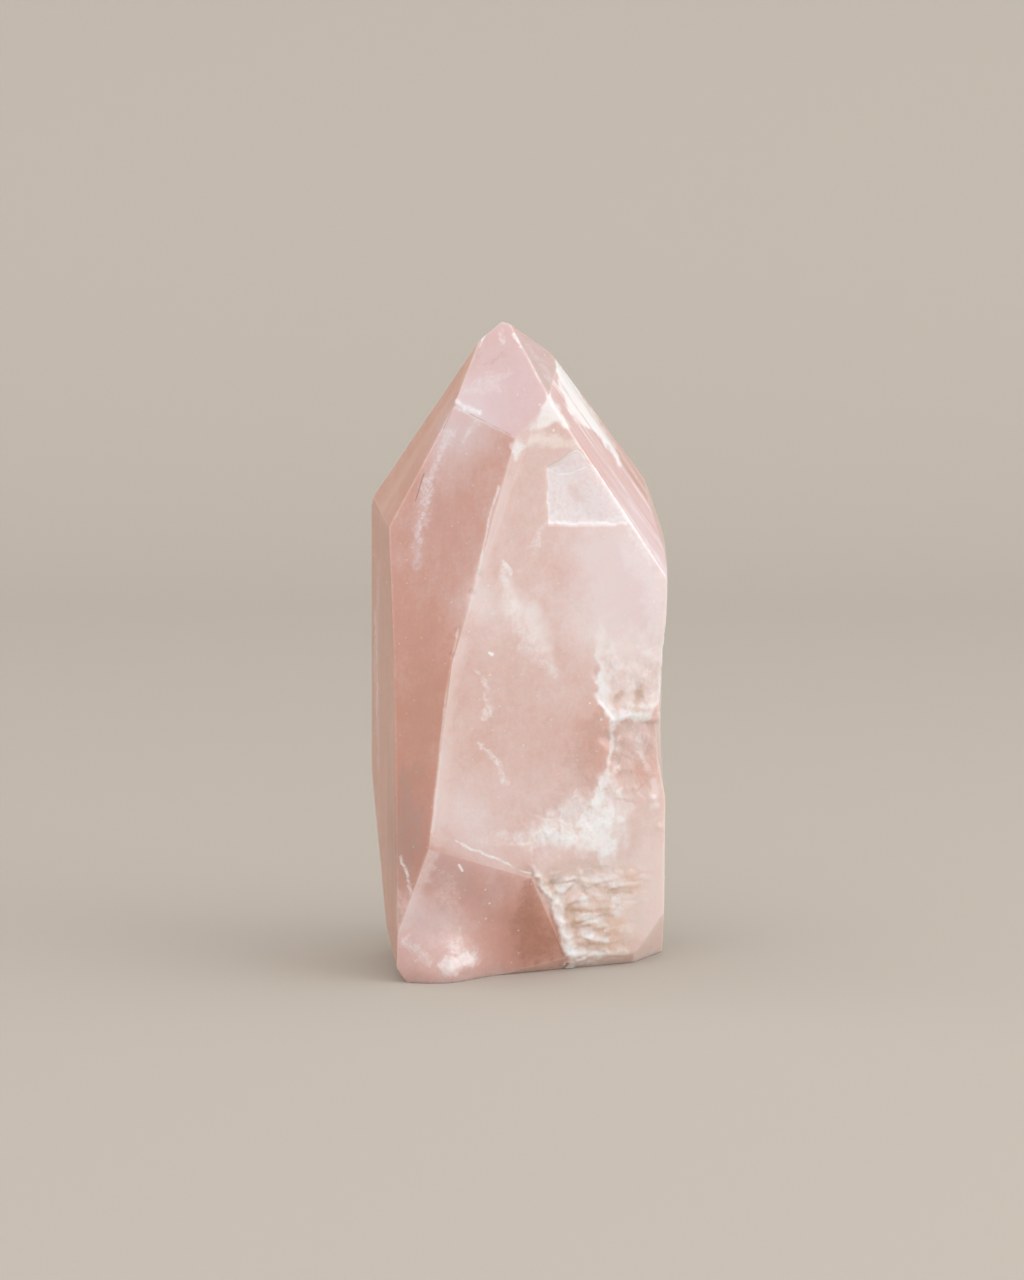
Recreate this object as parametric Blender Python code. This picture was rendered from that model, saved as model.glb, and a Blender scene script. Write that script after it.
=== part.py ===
"""A rose quartz point: one stone, ground to flat facets, with its natural skin left in places.

Units are metres, +Z is up, and the origin lies in the flat foot that the stone stands on,
near its middle. The broad front facet looks toward -Y, turned a little to +X.
"""

import math

import bmesh
import bpy
from mathutils import Vector, noise

MM = 0.001

# The rough block that the facets are ground from: width, depth, height.
BLOCK_SIZE = Vector((60.0, 60.0, 110.0)) * MM

# Each facet: the way it faces (degrees round from the front, positive toward +X), how far it
# leans back (degrees, negative where it overhangs) and its distance from the origin in
# millimetres.
FACETS = {
    "left flank": (-79.0, 0.0, 19.0),
    "front left, lower": (-29.0, 2.5, 21.2),
    "front left, upper": (-28.0, 10.0, 26.7),
    "front ridge bevel": (5.5, 1.5, 17.4),
    "broad front": (19.5, -3.5, 10.4),
    "right side": (89.5, 0.0, 20.6),
    "back right": (152.0, 0.5, 16.1),
    "back left": (-152.0, 1.5, 16.9),
    "tip left": (-73.0, 26.0, 44.8),
    "tip front": (-21.0, 26.0, 46.0),
    "tip front right": (43.5, 42.5, 64.2),
    "tip back right": (140.0, 44.5, 58.6),
    "tip back left": (-131.5, 40.5, 56.5),
    "shoulder front right": (62.5, 24.0, 42.2),
    "shoulder right, upper": (79.5, 31.0, 49.2),
    "shoulder right, lower": (86.0, 18.5, 38.0),
    "front chip": (16.0, -13.5, 7.8),
    "front right skin": (25.5, -9.0, 8.7),
    "left foot, upper": (-95.0, -10.0, 16.5),
    "left foot, lower": (-95.0, -30.0, 12.4),
    "front foot": (24.0, -45.0, 5.0),
    "right foot corner": (60.0, -28.5, 12.7),
}

# The shallow window broken into the broad front facet: its outline (x, z) in millimetres,
# running out over the shoulder on the right, its depth, how far its cutter stands proud and
# how much narrower its outline gets for each millimetre down.
WINDOW_FACET = "broad front"
WINDOW_OUTLINE = ((4.4, 63.0), (18.0, 63.5), (18.0, 71.2), (9.8, 71.2), (7.8, 72.9), (4.2, 70.8))
WINDOW_DEPTH = 0.45
WINDOW_REACH = 2.0
WINDOW_TAPER = 0.08

# Patches of natural skin, in millimetres: the box that is scored into small faces
# (low corner, high corner) and the pitch of the lines across and up.
FRONT_SKIN = (Vector((9.0, -20.0, 0.0)), Vector((22.0, 9.0, 57.0)), 1.3, 1.0)
FOOT_SKIN = (Vector((2.0, -20.0, 0.0)), Vector((9.0, -2.0, 25.0)), 1.3, 1.0)
CHIP_SKIN = (Vector((-18.0, -20.0, 0.0)), Vector((2.0, -8.0, 19.0)), 2.2, 1.9)
BACK_SKIN = (Vector((-4.2, 9.0, 0.0)), Vector((22.2, 24.0, 36.0)), 2.4, 2.4)
SKINS = (FRONT_SKIN, FOOT_SKIN, CHIP_SKIN, BACK_SKIN)
SKIN_MARGIN = 0.01

# The corner of the broad front and the right side, where distances round the stone turn,
# and the stretch of the right side over which the front skin dies out.
CORNER_Y = -5.5
SIDE_FADE = ((2.0, 1.0), (9.0, 0.0))
SIDE_END = 9.0

# All that follows is in millimetres. A list of stops gives a value at each place, smooth
# between them and level beyond.

# The ledge on the right edge: its height, and how much it wavers, more so round the side.
LEDGE = 35.4
LEDGE_SOFTNESS = 0.6
LEDGE_WAVER = ((15.0, 0.3), (24.0, 2.2))
LEDGE_WAVER_PITCH = 4.5

# The rough plateau above the ledge: its left edge at each height, how much its edge wavers,
# its share of the full depth at each height, its depth round the stone and its unevenness.
PLATEAU_EDGE = ((35.5, 13.2), (39.5, 10.6), (43.0, 10.6), (49.0, 11.6))
PLATEAU_SOFTNESS = 0.45
EDGE_WAVER = 1.1
EDGE_WAVER_PITCH = 2.3
PLATEAU_UP = ((45.0, 1.0), (55.0, 0.0))
PLATEAU_DEPTH = ((12.0, 0.3), (20.5, 1.15))
PLATEAU_UNEVEN = 0.2
PLATEAU_PITCH = 2.2

# The deeper hollow below the ledge, in the same terms.
HOLLOW_EDGE = ((26.0, 14.1), (32.0, 12.6))
HOLLOW_SOFTNESS = 1.0
HOLLOW_UP = ((23.0, 0.0), (32.0, 1.0))
HOLLOW_DEPTH = ((13.0, 0.75), (19.5, 1.5))
HOLLOW_UNEVEN = 0.25
HOLLOW_PITCH = 2.6

# Pits in the front skin: middle (round the stone, up), radii and depth.
PITS = (
    ((13.9, 38.5), (1.6, 1.5), 0.5),
    ((17.1, 38.3), (2.0, 1.9), 0.6),
    ((5.2, 12.8), (1.5, 1.6), 0.7),
)

# The rippled skin above the right foot: its left edge at each height, its fades up the stone
# and round it, and the depth, height, pitch, slant and unevenness of its ridges.
RIPPLE_EDGE = ((0.0, 7.9), (15.0, 2.7))
RIPPLE_SOFTNESS = 1.25
RIPPLE_UP = ((12.0, 1.0), (15.5, 0.0))
RIPPLE_ROUND = ((18.0, 1.0), (24.0, 0.0))
RIPPLE_DEPTH = 0.2
RIPPLE_HEIGHT = 0.16
RIPPLE_PITCH = 2.6
RIPPLE_SLANT = 0.16
RIPPLE_BEND = 0.6
RIPPLE_BEND_PITCH = 4.0
RIPPLE_UNEVEN = 0.3
RIPPLE_UNEVEN_PITCH = 2.4

# The broken steps across the foot of the broad front: where the band starts, its slope, its
# fades to both sides and along it, and its depth and unevenness.
STEP_START = (2.0, 19.5)
STEP_SLOPE = 0.55
STEP_WIDTH = ((1.0, 1.0), (4.0, 0.0))
STEP_ALONG = ((-3.0, 0.0), (5.0, 1.0), (14.0, 1.0), (20.0, 0.0))
STEP_DEPTH = 0.15
STEP_UNEVEN = 0.25
STEP_PITCH = 2.4

# The front chip: its bounds, the line (x at the foot, lean) where it ends against the front
# skin, the flare of its foot, the hollow above and its unevenness.
CHIP_END = 2.0
CHIP_TOP = 19.0
CHIP_BACK = -8.0
CHIP_LINE = (6.3, 0.42)
CHIP_SOFTNESS = 2.0
CHIP_FACING = 11.0
FLARE = 3.0
FLARE_MIDDLE = -10.5
FLARE_RADIUS = 8.5
FLARE_UP = ((0.0, 1.0), (8.5, 0.0))
CHIP_HOLLOW = ((-4.5, 8.5), (6.5, 7.5), 0.45)
CHIP_UNEVEN = 0.12
CHIP_PITCH = 3.0
CHIP_UP = ((13.0, 1.0), (17.0, 0.0))

# The unground patch low on the back and the chip above it: middle (x, up), radii and depth.
BACK_PATCH = ((11.0, 9.0), (12.0, 17.0), 0.5)
BACK_PATCH_RIM = 0.35
BACK_UNEVEN = 0.45
BACK_PITCH = 3.5
BACK_CHIP = ((1.0, 27.0), (5.0, 7.0), 0.9)

# The way the skin moves, in degrees round from the front: at each place round the front and
# right side, and at each place (x less y) across the back.
FRONT_FACING = ((15.0, 22.0), (26.0, 82.0))
BACK_FACING = ((-4.0, 158.0), (10.0, 98.0))

# Steep faces carry skin; the flat foot does not. Faces count as one facet when the cosine
# between them is above the second value.
FOOT_SLOPE = 0.9
LEVEL = 0.99999

# A scored line joins a corner that it passes closer than this, in metres.
SNAP = 0.12 * MM

# How far the corners of the scored faces stray along their facet, as a share of their shortest
# edge, how quickly that turns, and how far apart the three directions take their unevenness.
STRAY = 0.5
STRAY_PITCH = 0.9
STRAY_APART = (Vector((0.0, 0.0, 0.0)), Vector((31.7, 5.3, 11.1)), Vector((-17.9, 43.1, 7.7)))


def facing(azimuth, tilt):
    """The outward direction of a facet."""
    turn = math.radians(azimuth)
    lean = math.radians(tilt)
    level = math.cos(lean)
    return Vector((math.sin(turn) * level, -math.cos(turn) * level, math.sin(lean)))


def ramp(value, start, end):
    """Zero at start, one at end, smooth between."""
    share = min(max((value - start) / (end - start), 0.0), 1.0)
    return share * share * (3.0 - 2.0 * share)


def across_edge(value, edge, softness):
    """Zero before an edge and one past it, turning over the softness to either side."""
    return ramp(value, edge - softness, edge + softness)


def along(stops, place):
    """The value at a place, smooth between the stops and level beyond them."""
    value = stops[0][1]
    for before, after in zip(stops, stops[1:]):
        value += (after[1] - before[1]) * ramp(place, before[0], after[0])
    return value


def mound(across, up, middle, radii):
    """A smooth round hump of height one that fades out on an ellipse."""
    reach = math.hypot((across - middle[0]) / radii[0], (up - middle[1]) / radii[1])
    return 1.0 - ramp(reach, 0.0, 1.0)


def lumps(place, pitch):
    """Natural unevenness from -1 to 1, with lumps about one pitch apart."""
    return noise.noise(place / pitch)


def scab_depth(round_, up, place):
    """The rough plateau on the right edge, and the deeper hollow under its ledge."""
    waver = along(LEDGE_WAVER, round_) * lumps(Vector((round_, 0.0, 0.0)), LEDGE_WAVER_PITCH)
    above = across_edge(up, LEDGE + waver, LEDGE_SOFTNESS)
    scallop = EDGE_WAVER * lumps(Vector((0.0, 0.0, up)), EDGE_WAVER_PITCH)
    edge = along(PLATEAU_EDGE, up) + scallop
    plateau = across_edge(round_, edge, PLATEAU_SOFTNESS) * along(PLATEAU_UP, up) * above
    plateau *= along(PLATEAU_DEPTH, round_) + PLATEAU_UNEVEN * lumps(place, PLATEAU_PITCH)
    edge = along(HOLLOW_EDGE, up) + scallop
    hollow = across_edge(round_, edge, HOLLOW_SOFTNESS) * along(HOLLOW_UP, up) * (1.0 - above)
    hollow *= along(HOLLOW_DEPTH, round_) + HOLLOW_UNEVEN * lumps(place, HOLLOW_PITCH)
    return plateau + hollow


def pit_depth(round_, up):
    """The small pits in the front skin."""
    return sum(depth * mound(round_, up, middle, radii) for middle, radii, depth in PITS)


def ripple_depth(round_, up, place):
    """Level ridges in the natural skin above the right foot."""
    patch = across_edge(round_, along(RIPPLE_EDGE, up), RIPPLE_SOFTNESS)
    patch *= along(RIPPLE_UP, up) * along(RIPPLE_ROUND, round_)
    bend = RIPPLE_BEND * lumps(place, RIPPLE_BEND_PITCH)
    wave = math.sin(math.tau * (up / RIPPLE_PITCH + bend) + RIPPLE_SLANT * round_)
    uneven = RIPPLE_UNEVEN * lumps(place, RIPPLE_UNEVEN_PITCH)
    return patch * (RIPPLE_DEPTH + RIPPLE_HEIGHT * wave + uneven)


def step_depth(round_, up, place):
    """The broken steps that cross the foot of the broad front facet."""
    start, height = STEP_START
    line = height + STEP_SLOPE * max(round_ - start, 0.0)
    near = along(STEP_WIDTH, abs(up - line)) * along(STEP_ALONG, round_)
    return near * (STEP_DEPTH + STEP_UNEVEN * lumps(place, STEP_PITCH))


def chip_rise(across, up, place):
    """How far the foot of the front chip flares back out, with its hollow above."""
    flare = FLARE * mound(across, 0.0, (FLARE_MIDDLE, 0.0), (FLARE_RADIUS, 1.0))
    middle, radii, depth = CHIP_HOLLOW
    hollow = depth * mound(across, up, middle, radii)
    uneven = CHIP_UNEVEN * lumps(place, CHIP_PITCH)
    return flare * along(FLARE_UP, up) - hollow + uneven * along(CHIP_UP, up)


def back_depth(across, up, place):
    """The unground patch low on the back, and the chip above it."""
    middle, radii, depth = BACK_PATCH
    patch = ramp(mound(across, up, middle, radii), 0.0, BACK_PATCH_RIM)
    patch *= depth + BACK_UNEVEN * lumps(place, BACK_PITCH)
    middle, radii, depth = BACK_CHIP
    return patch + depth * mound(across, up, middle, radii)


def skin_move(place):
    """How a place on the skin, in millimetres, moves from its facet, level all round."""
    up = place.z
    if place.y > SIDE_END:
        azimuth = along(BACK_FACING, place.x - place.y)
        return facing(azimuth, 0.0) * -back_depth(place.x, up, place)
    if place.x < CHIP_END and up < CHIP_TOP and place.y < CHIP_BACK:
        foot, lean = CHIP_LINE
        on_chip = 1.0 - across_edge(place.x, foot - lean * up, CHIP_SOFTNESS)
        return facing(CHIP_FACING, 0.0) * chip_rise(place.x, up, place) * on_chip
    round_ = place.x + max(0.0, place.y - CORNER_Y)
    depth = scab_depth(round_, up, place) + pit_depth(round_, up)
    depth += ripple_depth(round_, up, place) + step_depth(round_, up, place)
    return facing(along(FRONT_FACING, round_), 0.0) * -depth * along(SIDE_FADE, place.y)


def rough_block():
    """The block of stone before any facet is ground."""
    stone = bmesh.new()
    bmesh.ops.create_cube(stone, size=1.0)
    bmesh.ops.scale(stone, vec=BLOCK_SIZE, verts=stone.verts)
    bmesh.ops.translate(stone, vec=Vector((0.0, 0.0, BLOCK_SIZE.z / 2.0)), verts=stone.verts)
    return stone


def grind(stone, azimuth, tilt, distance):
    """Grind one flat facet and close the stone over it."""
    normal = facing(azimuth, tilt)
    parts = stone.verts[:] + stone.edges[:] + stone.faces[:]
    cut = bmesh.ops.bisect_plane(
        stone, geom=parts, plane_co=normal * distance * MM, plane_no=normal, clear_outer=True
    )
    rim = [part for part in cut["geom_cut"] if isinstance(part, bmesh.types.BMEdge)]
    bmesh.ops.contextual_create(stone, geom=rim)


def upright_faces(stone, axis):
    """The upright faces that lines across an axis suit; those up the stone suit them all."""
    found = [face for face in stone.faces if abs(face.normal.z) < FOOT_SLOPE]
    if axis == 2:
        return found
    return [face for face in found if abs(face.normal[axis]) <= abs(face.normal[1 - axis])]


def faces_within(stone, low, high, axis):
    """The faces to score across an axis whose middles lie in a box given in millimetres."""
    found = []
    for face in upright_faces(stone, axis):
        middle = face.calc_center_median() / MM
        if all(low[side] <= middle[side] <= high[side] for side in range(3)):
            found.append(face)
    return found


def score_line(stone, faces, axis, place):
    """Draw the line where a plane across one axis meets some faces."""
    normal = Vector((0.0, 0.0, 0.0))
    normal[axis] = 1.0
    edges = list(dict.fromkeys(edge for face in faces for edge in face.edges))
    verts = list(dict.fromkeys(vert for face in faces for vert in face.verts))
    bmesh.ops.bisect_plane(
        stone, geom=verts + edges + faces, dist=SNAP, plane_co=normal * place * MM, plane_no=normal
    )
    stone.normal_update()


def score(stone, low, high, across, up):
    """Divide a patch of skin into small faces by lines across it and up it."""
    for axis in range(3):
        for place in (low[axis], high[axis]):
            score_line(stone, upright_faces(stone, axis), axis, place)
    for axis, pitch in ((0, across), (1, across), (2, up)):
        lines = round((high[axis] - low[axis]) / pitch)
        for line in range(1, lines):
            place = low[axis] + (high[axis] - low[axis]) * line / lines
            score_line(stone, faces_within(stone, low, high, axis), axis, place)


def on_skin(place):
    """Whether a place, in millimetres, is in a scored patch."""
    for low, high, *_ in SKINS:
        if all(low[side] - SKIN_MARGIN <= place[side] <= high[side] + SKIN_MARGIN for side in range(3)):
            return True
    return False


def stray(stone):
    """Shift the scored corners along their own facet, so that the skin follows no grid."""
    for vert in stone.verts:
        normal = vert.link_faces[0].normal
        flat = all(face.normal.dot(normal) > LEVEL for face in vert.link_faces)
        place = vert.co / MM
        if flat and on_skin(place) and not vert.is_boundary:
            reach = STRAY * min(edge.calc_length() for edge in vert.link_edges)
            shift = Vector([reach * lumps(place + apart, STRAY_PITCH) for apart in STRAY_APART])
            vert.co += shift - normal * shift.dot(normal)


def weather(stone):
    """Move the skin away from its facets, level all round, so that the foot stays flat."""
    for vert in stone.verts:
        place = vert.co / MM
        upright = any(abs(face.normal.z) < FOOT_SLOPE for face in vert.link_faces)
        if upright and on_skin(place):
            vert.co += skin_move(place) * MM


def window_cutter(material):
    """The flat tapered prism that opens the window in its facet."""
    azimuth, tilt, distance = FACETS[WINDOW_FACET]
    normal = facing(azimuth, tilt)
    corners = []
    for across, up in WINDOW_OUTLINE:
        away = (distance - normal.x * across - normal.z * up) / normal.y
        corners.append(Vector((across, away, up)))
    middle = sum(corners, Vector()) / len(corners)
    prism = bmesh.new()
    rings = []
    for rise in (-WINDOW_DEPTH, WINDOW_REACH):
        spread = 1.0 + WINDOW_TAPER * rise
        places = [middle + (corner - middle) * spread + normal * rise for corner in corners]
        rings.append([prism.verts.new(place * MM) for place in places])
    floor, top = rings
    prism.faces.new(floor)
    prism.faces.new(top)
    for corner in range(len(corners)):
        after = (corner + 1) % len(corners)
        prism.faces.new((floor[corner], floor[after], top[after], top[corner]))
    bmesh.ops.recalc_face_normals(prism, faces=prism.faces)
    cutter = to_object("window_cutter", prism, material)
    cutter.hide_render = True
    cutter.display_type = "WIRE"
    return cutter


def open_window(stone, material):
    """Cut the window from the ground stone and give back the shape that is left."""
    ground = to_object("ground_stone", stone, material)
    window = ground.modifiers.new("window", "BOOLEAN")
    window.operation = "DIFFERENCE"
    window.solver = "EXACT"
    window.object = window_cutter(material)
    opened = bmesh.new()
    opened.from_object(ground, bpy.context.evaluated_depsgraph_get())
    bpy.data.objects.remove(ground)
    return opened


def rose_quartz():
    """Milky pink quartz with a polished surface."""
    material = bpy.data.materials.new("rose quartz")
    material.use_nodes = True
    shader = material.node_tree.nodes["Principled BSDF"]
    shader.inputs["Base Color"].default_value = (0.78, 0.52, 0.46, 1.0)
    shader.inputs["Roughness"].default_value = 0.25
    shader.inputs["Metallic"].default_value = 0.0
    shader.inputs["IOR"].default_value = 1.544
    return material


def to_object(name, shape, material):
    """Make a named object of a finished shape."""
    mesh = bpy.data.meshes.new(name)
    shape.to_mesh(mesh)
    shape.free()
    mesh.materials.append(material)
    thing = bpy.data.objects.new(name, mesh)
    bpy.context.scene.collection.objects.link(thing)
    return thing


def rose_quartz_point():
    """The whole stone."""
    material = rose_quartz()
    ground = rough_block()
    for azimuth, tilt, distance in FACETS.values():
        grind(ground, azimuth, tilt, distance)
    stone = open_window(ground, material)
    stone.normal_update()
    for low, high, across, up in SKINS:
        score(stone, low, high, across, up)
    stray(stone)
    weather(stone)
    bmesh.ops.triangulate(stone, faces=stone.faces)
    bmesh.ops.recalc_face_normals(stone, faces=stone.faces)
    to_object("rose_quartz_point", stone, material)


def main():
    """Clear the scene and build the stone."""
    for thing in list(bpy.data.objects):
        bpy.data.objects.remove(thing)
    rose_quartz_point()


main()
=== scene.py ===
"""A rose quartz point: a milky pink stone, ground to flat facets, with natural skin left on it.

Lengths are millimetres in the stone's own frame unless a name says otherwise; meshes are
made in metres. Azimuth 0 faces -Y and grows toward +X.
"""

import math

import bmesh
import bpy
import numpy as np
from bpy.props import FloatProperty, FloatVectorProperty, PointerProperty
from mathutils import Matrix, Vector, geometry, noise


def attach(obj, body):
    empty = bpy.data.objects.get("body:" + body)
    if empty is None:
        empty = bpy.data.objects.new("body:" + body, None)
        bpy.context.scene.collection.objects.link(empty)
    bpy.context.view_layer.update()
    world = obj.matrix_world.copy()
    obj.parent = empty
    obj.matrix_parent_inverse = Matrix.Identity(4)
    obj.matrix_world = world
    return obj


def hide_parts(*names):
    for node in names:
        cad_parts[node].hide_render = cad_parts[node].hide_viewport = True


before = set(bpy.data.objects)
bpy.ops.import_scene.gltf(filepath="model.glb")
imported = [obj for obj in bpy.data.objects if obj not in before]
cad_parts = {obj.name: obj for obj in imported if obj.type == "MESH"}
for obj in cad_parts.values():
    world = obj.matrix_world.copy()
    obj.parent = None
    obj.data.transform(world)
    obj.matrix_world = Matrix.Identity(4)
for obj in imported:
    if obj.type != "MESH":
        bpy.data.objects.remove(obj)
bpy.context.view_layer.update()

bl_info = {
    "name": "Rose quartz point",
    "version": (1, 0, 0),
    "blender": (4, 5, 0),
    "location": "3D View > Sidebar > Rose Quartz",
    "description": "Makes a faceted rose quartz point with its natural skin, and a studio for it",
    "category": "Object",
}

MM = 0.001
NODE = "rose_quartz_point"

# --- The facets ---------------------------------------------------------------------------

# Each facet: the way it faces (degrees round from the front, positive toward +X), how far it
# leans back (degrees), its distance from the origin, and how the quartz looks through it: its
# depth, from 0, milky, to 1, rose, and deeper past it, and its warmth, from -1, lilac, to 1,
# peach. Depth and warmth are partly the quartz's own colour and partly painted light and shade:
# the shoulder facets that the key light hits squarely are set deeper, so darker, and the left
# flank and the tip's left facet warmer, for the light that comes through the stone from the right.
FACETS = {
    "left flank": (-79, 0, 19, 1.2, 0.3),
    "front left, lower": (-29, 2.5, 21.2, 0.86, 0),
    "front left, upper": (-28, 10, 26.7, 0.84, -0.1),
    "front ridge bevel": (5.5, 1.5, 17.4, 0.34, 0.05),
    "broad front": (19.5, -3.5, 10.4, 0.38, -0.05),
    "right side": (89.5, 0, 20.6, 0.4, 0.1),
    "back right": (152, 0.5, 16.1, 0.6, 0),
    "back left": (-152, 1.5, 16.9, 0.7, 0.1),
    "tip left": (-73, 26, 44.8, 0.95, 0.2),
    "tip front": (-21, 26, 46, 0.9, -0.8),
    "tip front right": (43.5, 42.5, 64.2, 0.7, -1),
    "tip back right": (140, 44.5, 58.6, 0.5, 0),
    "tip back left": (-131.5, 40.5, 56.5, 0.6, 0.1),
    "shoulder front right": (62.5, 24, 42.2, 1.05, -0.7),
    "shoulder right, upper": (79.5, 31, 49.2, 1, -0.2),
    "shoulder right, lower": (86, 18.5, 38, 0.5, 0.1),
    "front chip": (16, -13.5, 7.8, 0.85, -0.3),
    "front right skin": (25.5, -9, 8.7, 0.35, 0.1),
    "left foot, upper": (-95, -10, 16.5, 1.3, 0.1),
    "left foot, lower": (-95, -30, 12.4, 1.3, 0.1),
    "front foot": (24, -45, 5, 0.5, 0.2),
    "right foot corner": (60, -28.5, 12.7, 0.25, 0.3),
}
ORDER = list(FACETS)
FOOT_LOOK = (0.6, 0.1)

# The rough block that they are ground from: width, depth, height.
BLOCK_SIZE = Vector((60, 60, 110))

# How clearly upright growth stripes show on some facets, and on the others.
STRIPED = {"left flank": 1, "tip left": 0.4, "right side": 0.7, "back right": 0.5, "back left": 0.7}
STRIPED_ELSEWHERE = 0.15

# How clearly streaks that run down the slope show on the facets of the shoulder, and their run.
SLANTED = {"tip front right": 0.7, "shoulder front right": 1, "shoulder right, upper": 0.8}
SLANT = (0.538, 0.259, -0.802)

# The window broken into the broad front: its outline (x, z), how far under the facet it still
# counts as on it, its depth, how wide and how ragged its sloping wall is, and how it runs out
# toward the shoulder.
WINDOW_FACET = "broad front"
WINDOW_OUTLINE = (
    (4.2, 63.2), (14.8, 62.9), (18, 66), (18, 71.2), (9.8, 71), (8.1, 73.3), (4.1, 70.8),
)
WINDOW_REACH = 0.05
WINDOW_DEPTH = 0.45
WINDOW_WALL = 0.45
WINDOW_RAGGED = (0.2, 1.5)
WINDOW_RUNOUT = "shoulder front right"
WINDOW_FADE = ((0.3, 0.15), (3.5, 1))

# --- The natural skin ---------------------------------------------------------------------

# A list of stops gives a value at each place, smooth between them and level beyond. The front
# skin is measured round the stone (X, then back along the right side) and up. A ragged line has
# the height and the pitch of its grain. A rough skin has the height and pitch of its lumps, then
# of its grain.
CORNER_Y = -5.5
SIDE_FADE = ((2, 1), (9, 0))
SIDE_END = 9.0

# The rough plateau on the right edge, its ledge, and the deeper hollow under the ledge.
LEDGE = 35.4
LEDGE_SOFTNESS = 0.5
LEDGE_WAVER = ((15, 0.5), (24, 2.2))
LEDGE_WAVER_PITCH = 4.5
LEDGE_RAGGED = (0.5, 1.4)

PLATEAU_EDGE = ((35.5, 13.2), (39.5, 10.6), (43, 10.6), (49, 11.6))
PLATEAU_SOFTNESS = 0.3
PLATEAU_WAVER = (1.1, 2.3)
PLATEAU_RAGGED = (0.35, 1.2)
PLATEAU_UP = ((39, 1), (53, 0))
PLATEAU_DEPTH = ((12, 0.3), (20.5, 1.15))
PLATEAU_ROUGH = (0.2, 2.2, 0.11, 1.1)

HOLLOW_EDGE = ((26, 14.1), (32, 12.6))
HOLLOW_SOFTNESS = 1.0
HOLLOW_UP = ((23, 0), (32, 1))
HOLLOW_DEPTH = ((13, 0.75), (19.5, 1.5))
HOLLOW_ROUGH = (0.25, 2.6, 0.05, 1.5)

# Pits: middle (round the stone, up), radii and depth.
PITS = (
    ((13.7, 38.3), (1.1, 1.5), 0.25),
    ((17.0, 38.6), (1.3, 2.3), 0.4),
    ((5.2, 12.8), (1.5, 1.6), 0.7),
)
PIT_RAGGED = (0.5, 1.6)

# Broken pieces: how wide the rim of each is, how much they bend, and the seeds of the level and
# the lean of each.
SHARD_RIM = 0.35
SHARD_BEND = 0.3
LEVEL_SEED = 17.3
LEAN_SEED = 29.1

# The lumpy skin above the right foot, in broken pieces: how far each stands up in its middle,
# how much of that is the same for all, how far it leans, and their pitch and stretch.
RUBBLE_EDGE = ((0, 7.9), (15, 2.7))
RUBBLE_SOFTNESS = 0.9
RUBBLE_UP = ((13, 1), (16.5, 0))
RUBBLE_ROUND = ((9, 1), (24, 0))
RUBBLE_DEPTH = 0.25
RUBBLE_PILLOW = 0.3
RUBBLE_EVEN = 0.6
RUBBLE_LEAN = 0.1
RUBBLE_ROUGH = (0.25, 2.4, 0.07, 1.2)
RUBBLE_SHARD = 1.55
RUBBLE_STRETCH = (1.7, 1.7, 0.8)

# The broken edge that stands up along the right of the front chip: its line (z, x), how far it
# stands up and how far the chip sinks beside it. Its lip, the sunk chip and its white each begin
# and end on ramps across the line.
RIM_LINE = ((1.6, 6.7), (5.5, 5.7), (8.9, 4.7), (12.6, 3.1), (15.2, 1.9))
RIM_UP = ((14, 1), (16.5, 0))
RIM_RAGGED = (0.9, 2)
RIM_RISE = 0.3
RIM_EVEN = 0.6
RIM_UNEVEN = (0.8, 1.1)
RIM_SINK = 0.3
RIM_LIP = ((-0.1, 0.2), (2.2, 0.5))
RIM_CHIP = ((0.1, -0.15), (-3.5, 0))
RIM_WHITE = ((-0.15, 0.1), (1.5, 0.4))
RIM_BACK = -2.0

# The broken steps across the foot of the broad front: where they start (round, up), how they
# climb, how they fade to either side and along, and their pieces, as in the rubble.
STEP_START = (2.0, 19.5)
STEP_SLOPE = 0.55
STEP_WIDTH = ((2.5, 1), (5.5, 0))
STEP_ALONG = ((-3, 0), (4, 1), (15, 1), (20, 0))
STEP_DEPTH = 0.2
STEP_LEVEL = 0.05
STEP_LEAN = 0.1
STEP_UNEVEN = (0.12, 2.4)
STEP_SHARD = 1.7
STEP_STRETCH = (0.9, 0.9, 1.5)
STEP_APART = 40.0

# Small lumps and nicks: middle, radius and how far they stand up (or lie in, below zero). They
# fade out over the last of the height, at the foot.
KNOBS = (
    ((-9.6, -11.6, 1.9), 1.9, 0.4),
    ((-7.4, -11.2, 2.2), 1.6, 0.35),
    ((-5.4, -16.5, 56.5), 0.9, -0.25),
    ((-6.3, -16.6, 54), 0.8, -0.3),
    ((-8.2, -16.6, 48.8), 0.9, -0.25),
    ((-8.9, -16.9, 45.6), 0.7, -0.25),
    ((16.5, -6.4, 25.7), 0.7, 0.15),
    ((18.8, -5, 24.1), 0.8, 0.2),
    ((19.4, -4.6, 22.9), 0.7, 0.15),
    ((19.7, -3.9, 19.9), 0.8, 0.2),
)
KNOB_FOOT = 0.8

# The chip at the front of the foot: where it ends, its edge (x at the foot, lean), the flare of
# its foot, and its hollow: middle, radii and depth.
CHIP_END = 2.0
CHIP_TOP = 19.0
CHIP_BACK = -8.0
CHIP_LINE = (6.3, 0.42)
CHIP_SOFTNESS = 2.0
CHIP_FACING = 11.0
FLARE = 3.0
FLARE_MIDDLE = -10.5
FLARE_RADIUS = 8.5
FLARE_UP = ((0, 1), (8.5, 0))
CHIP_HOLLOW = ((-4.5, 8.5), (6.5, 7.5), 0.45)
CHIP_ROUGH = (0.12, 3, 0.03, 1.5)
CHIP_UP = ((13, 1), (17, 0))

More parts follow.
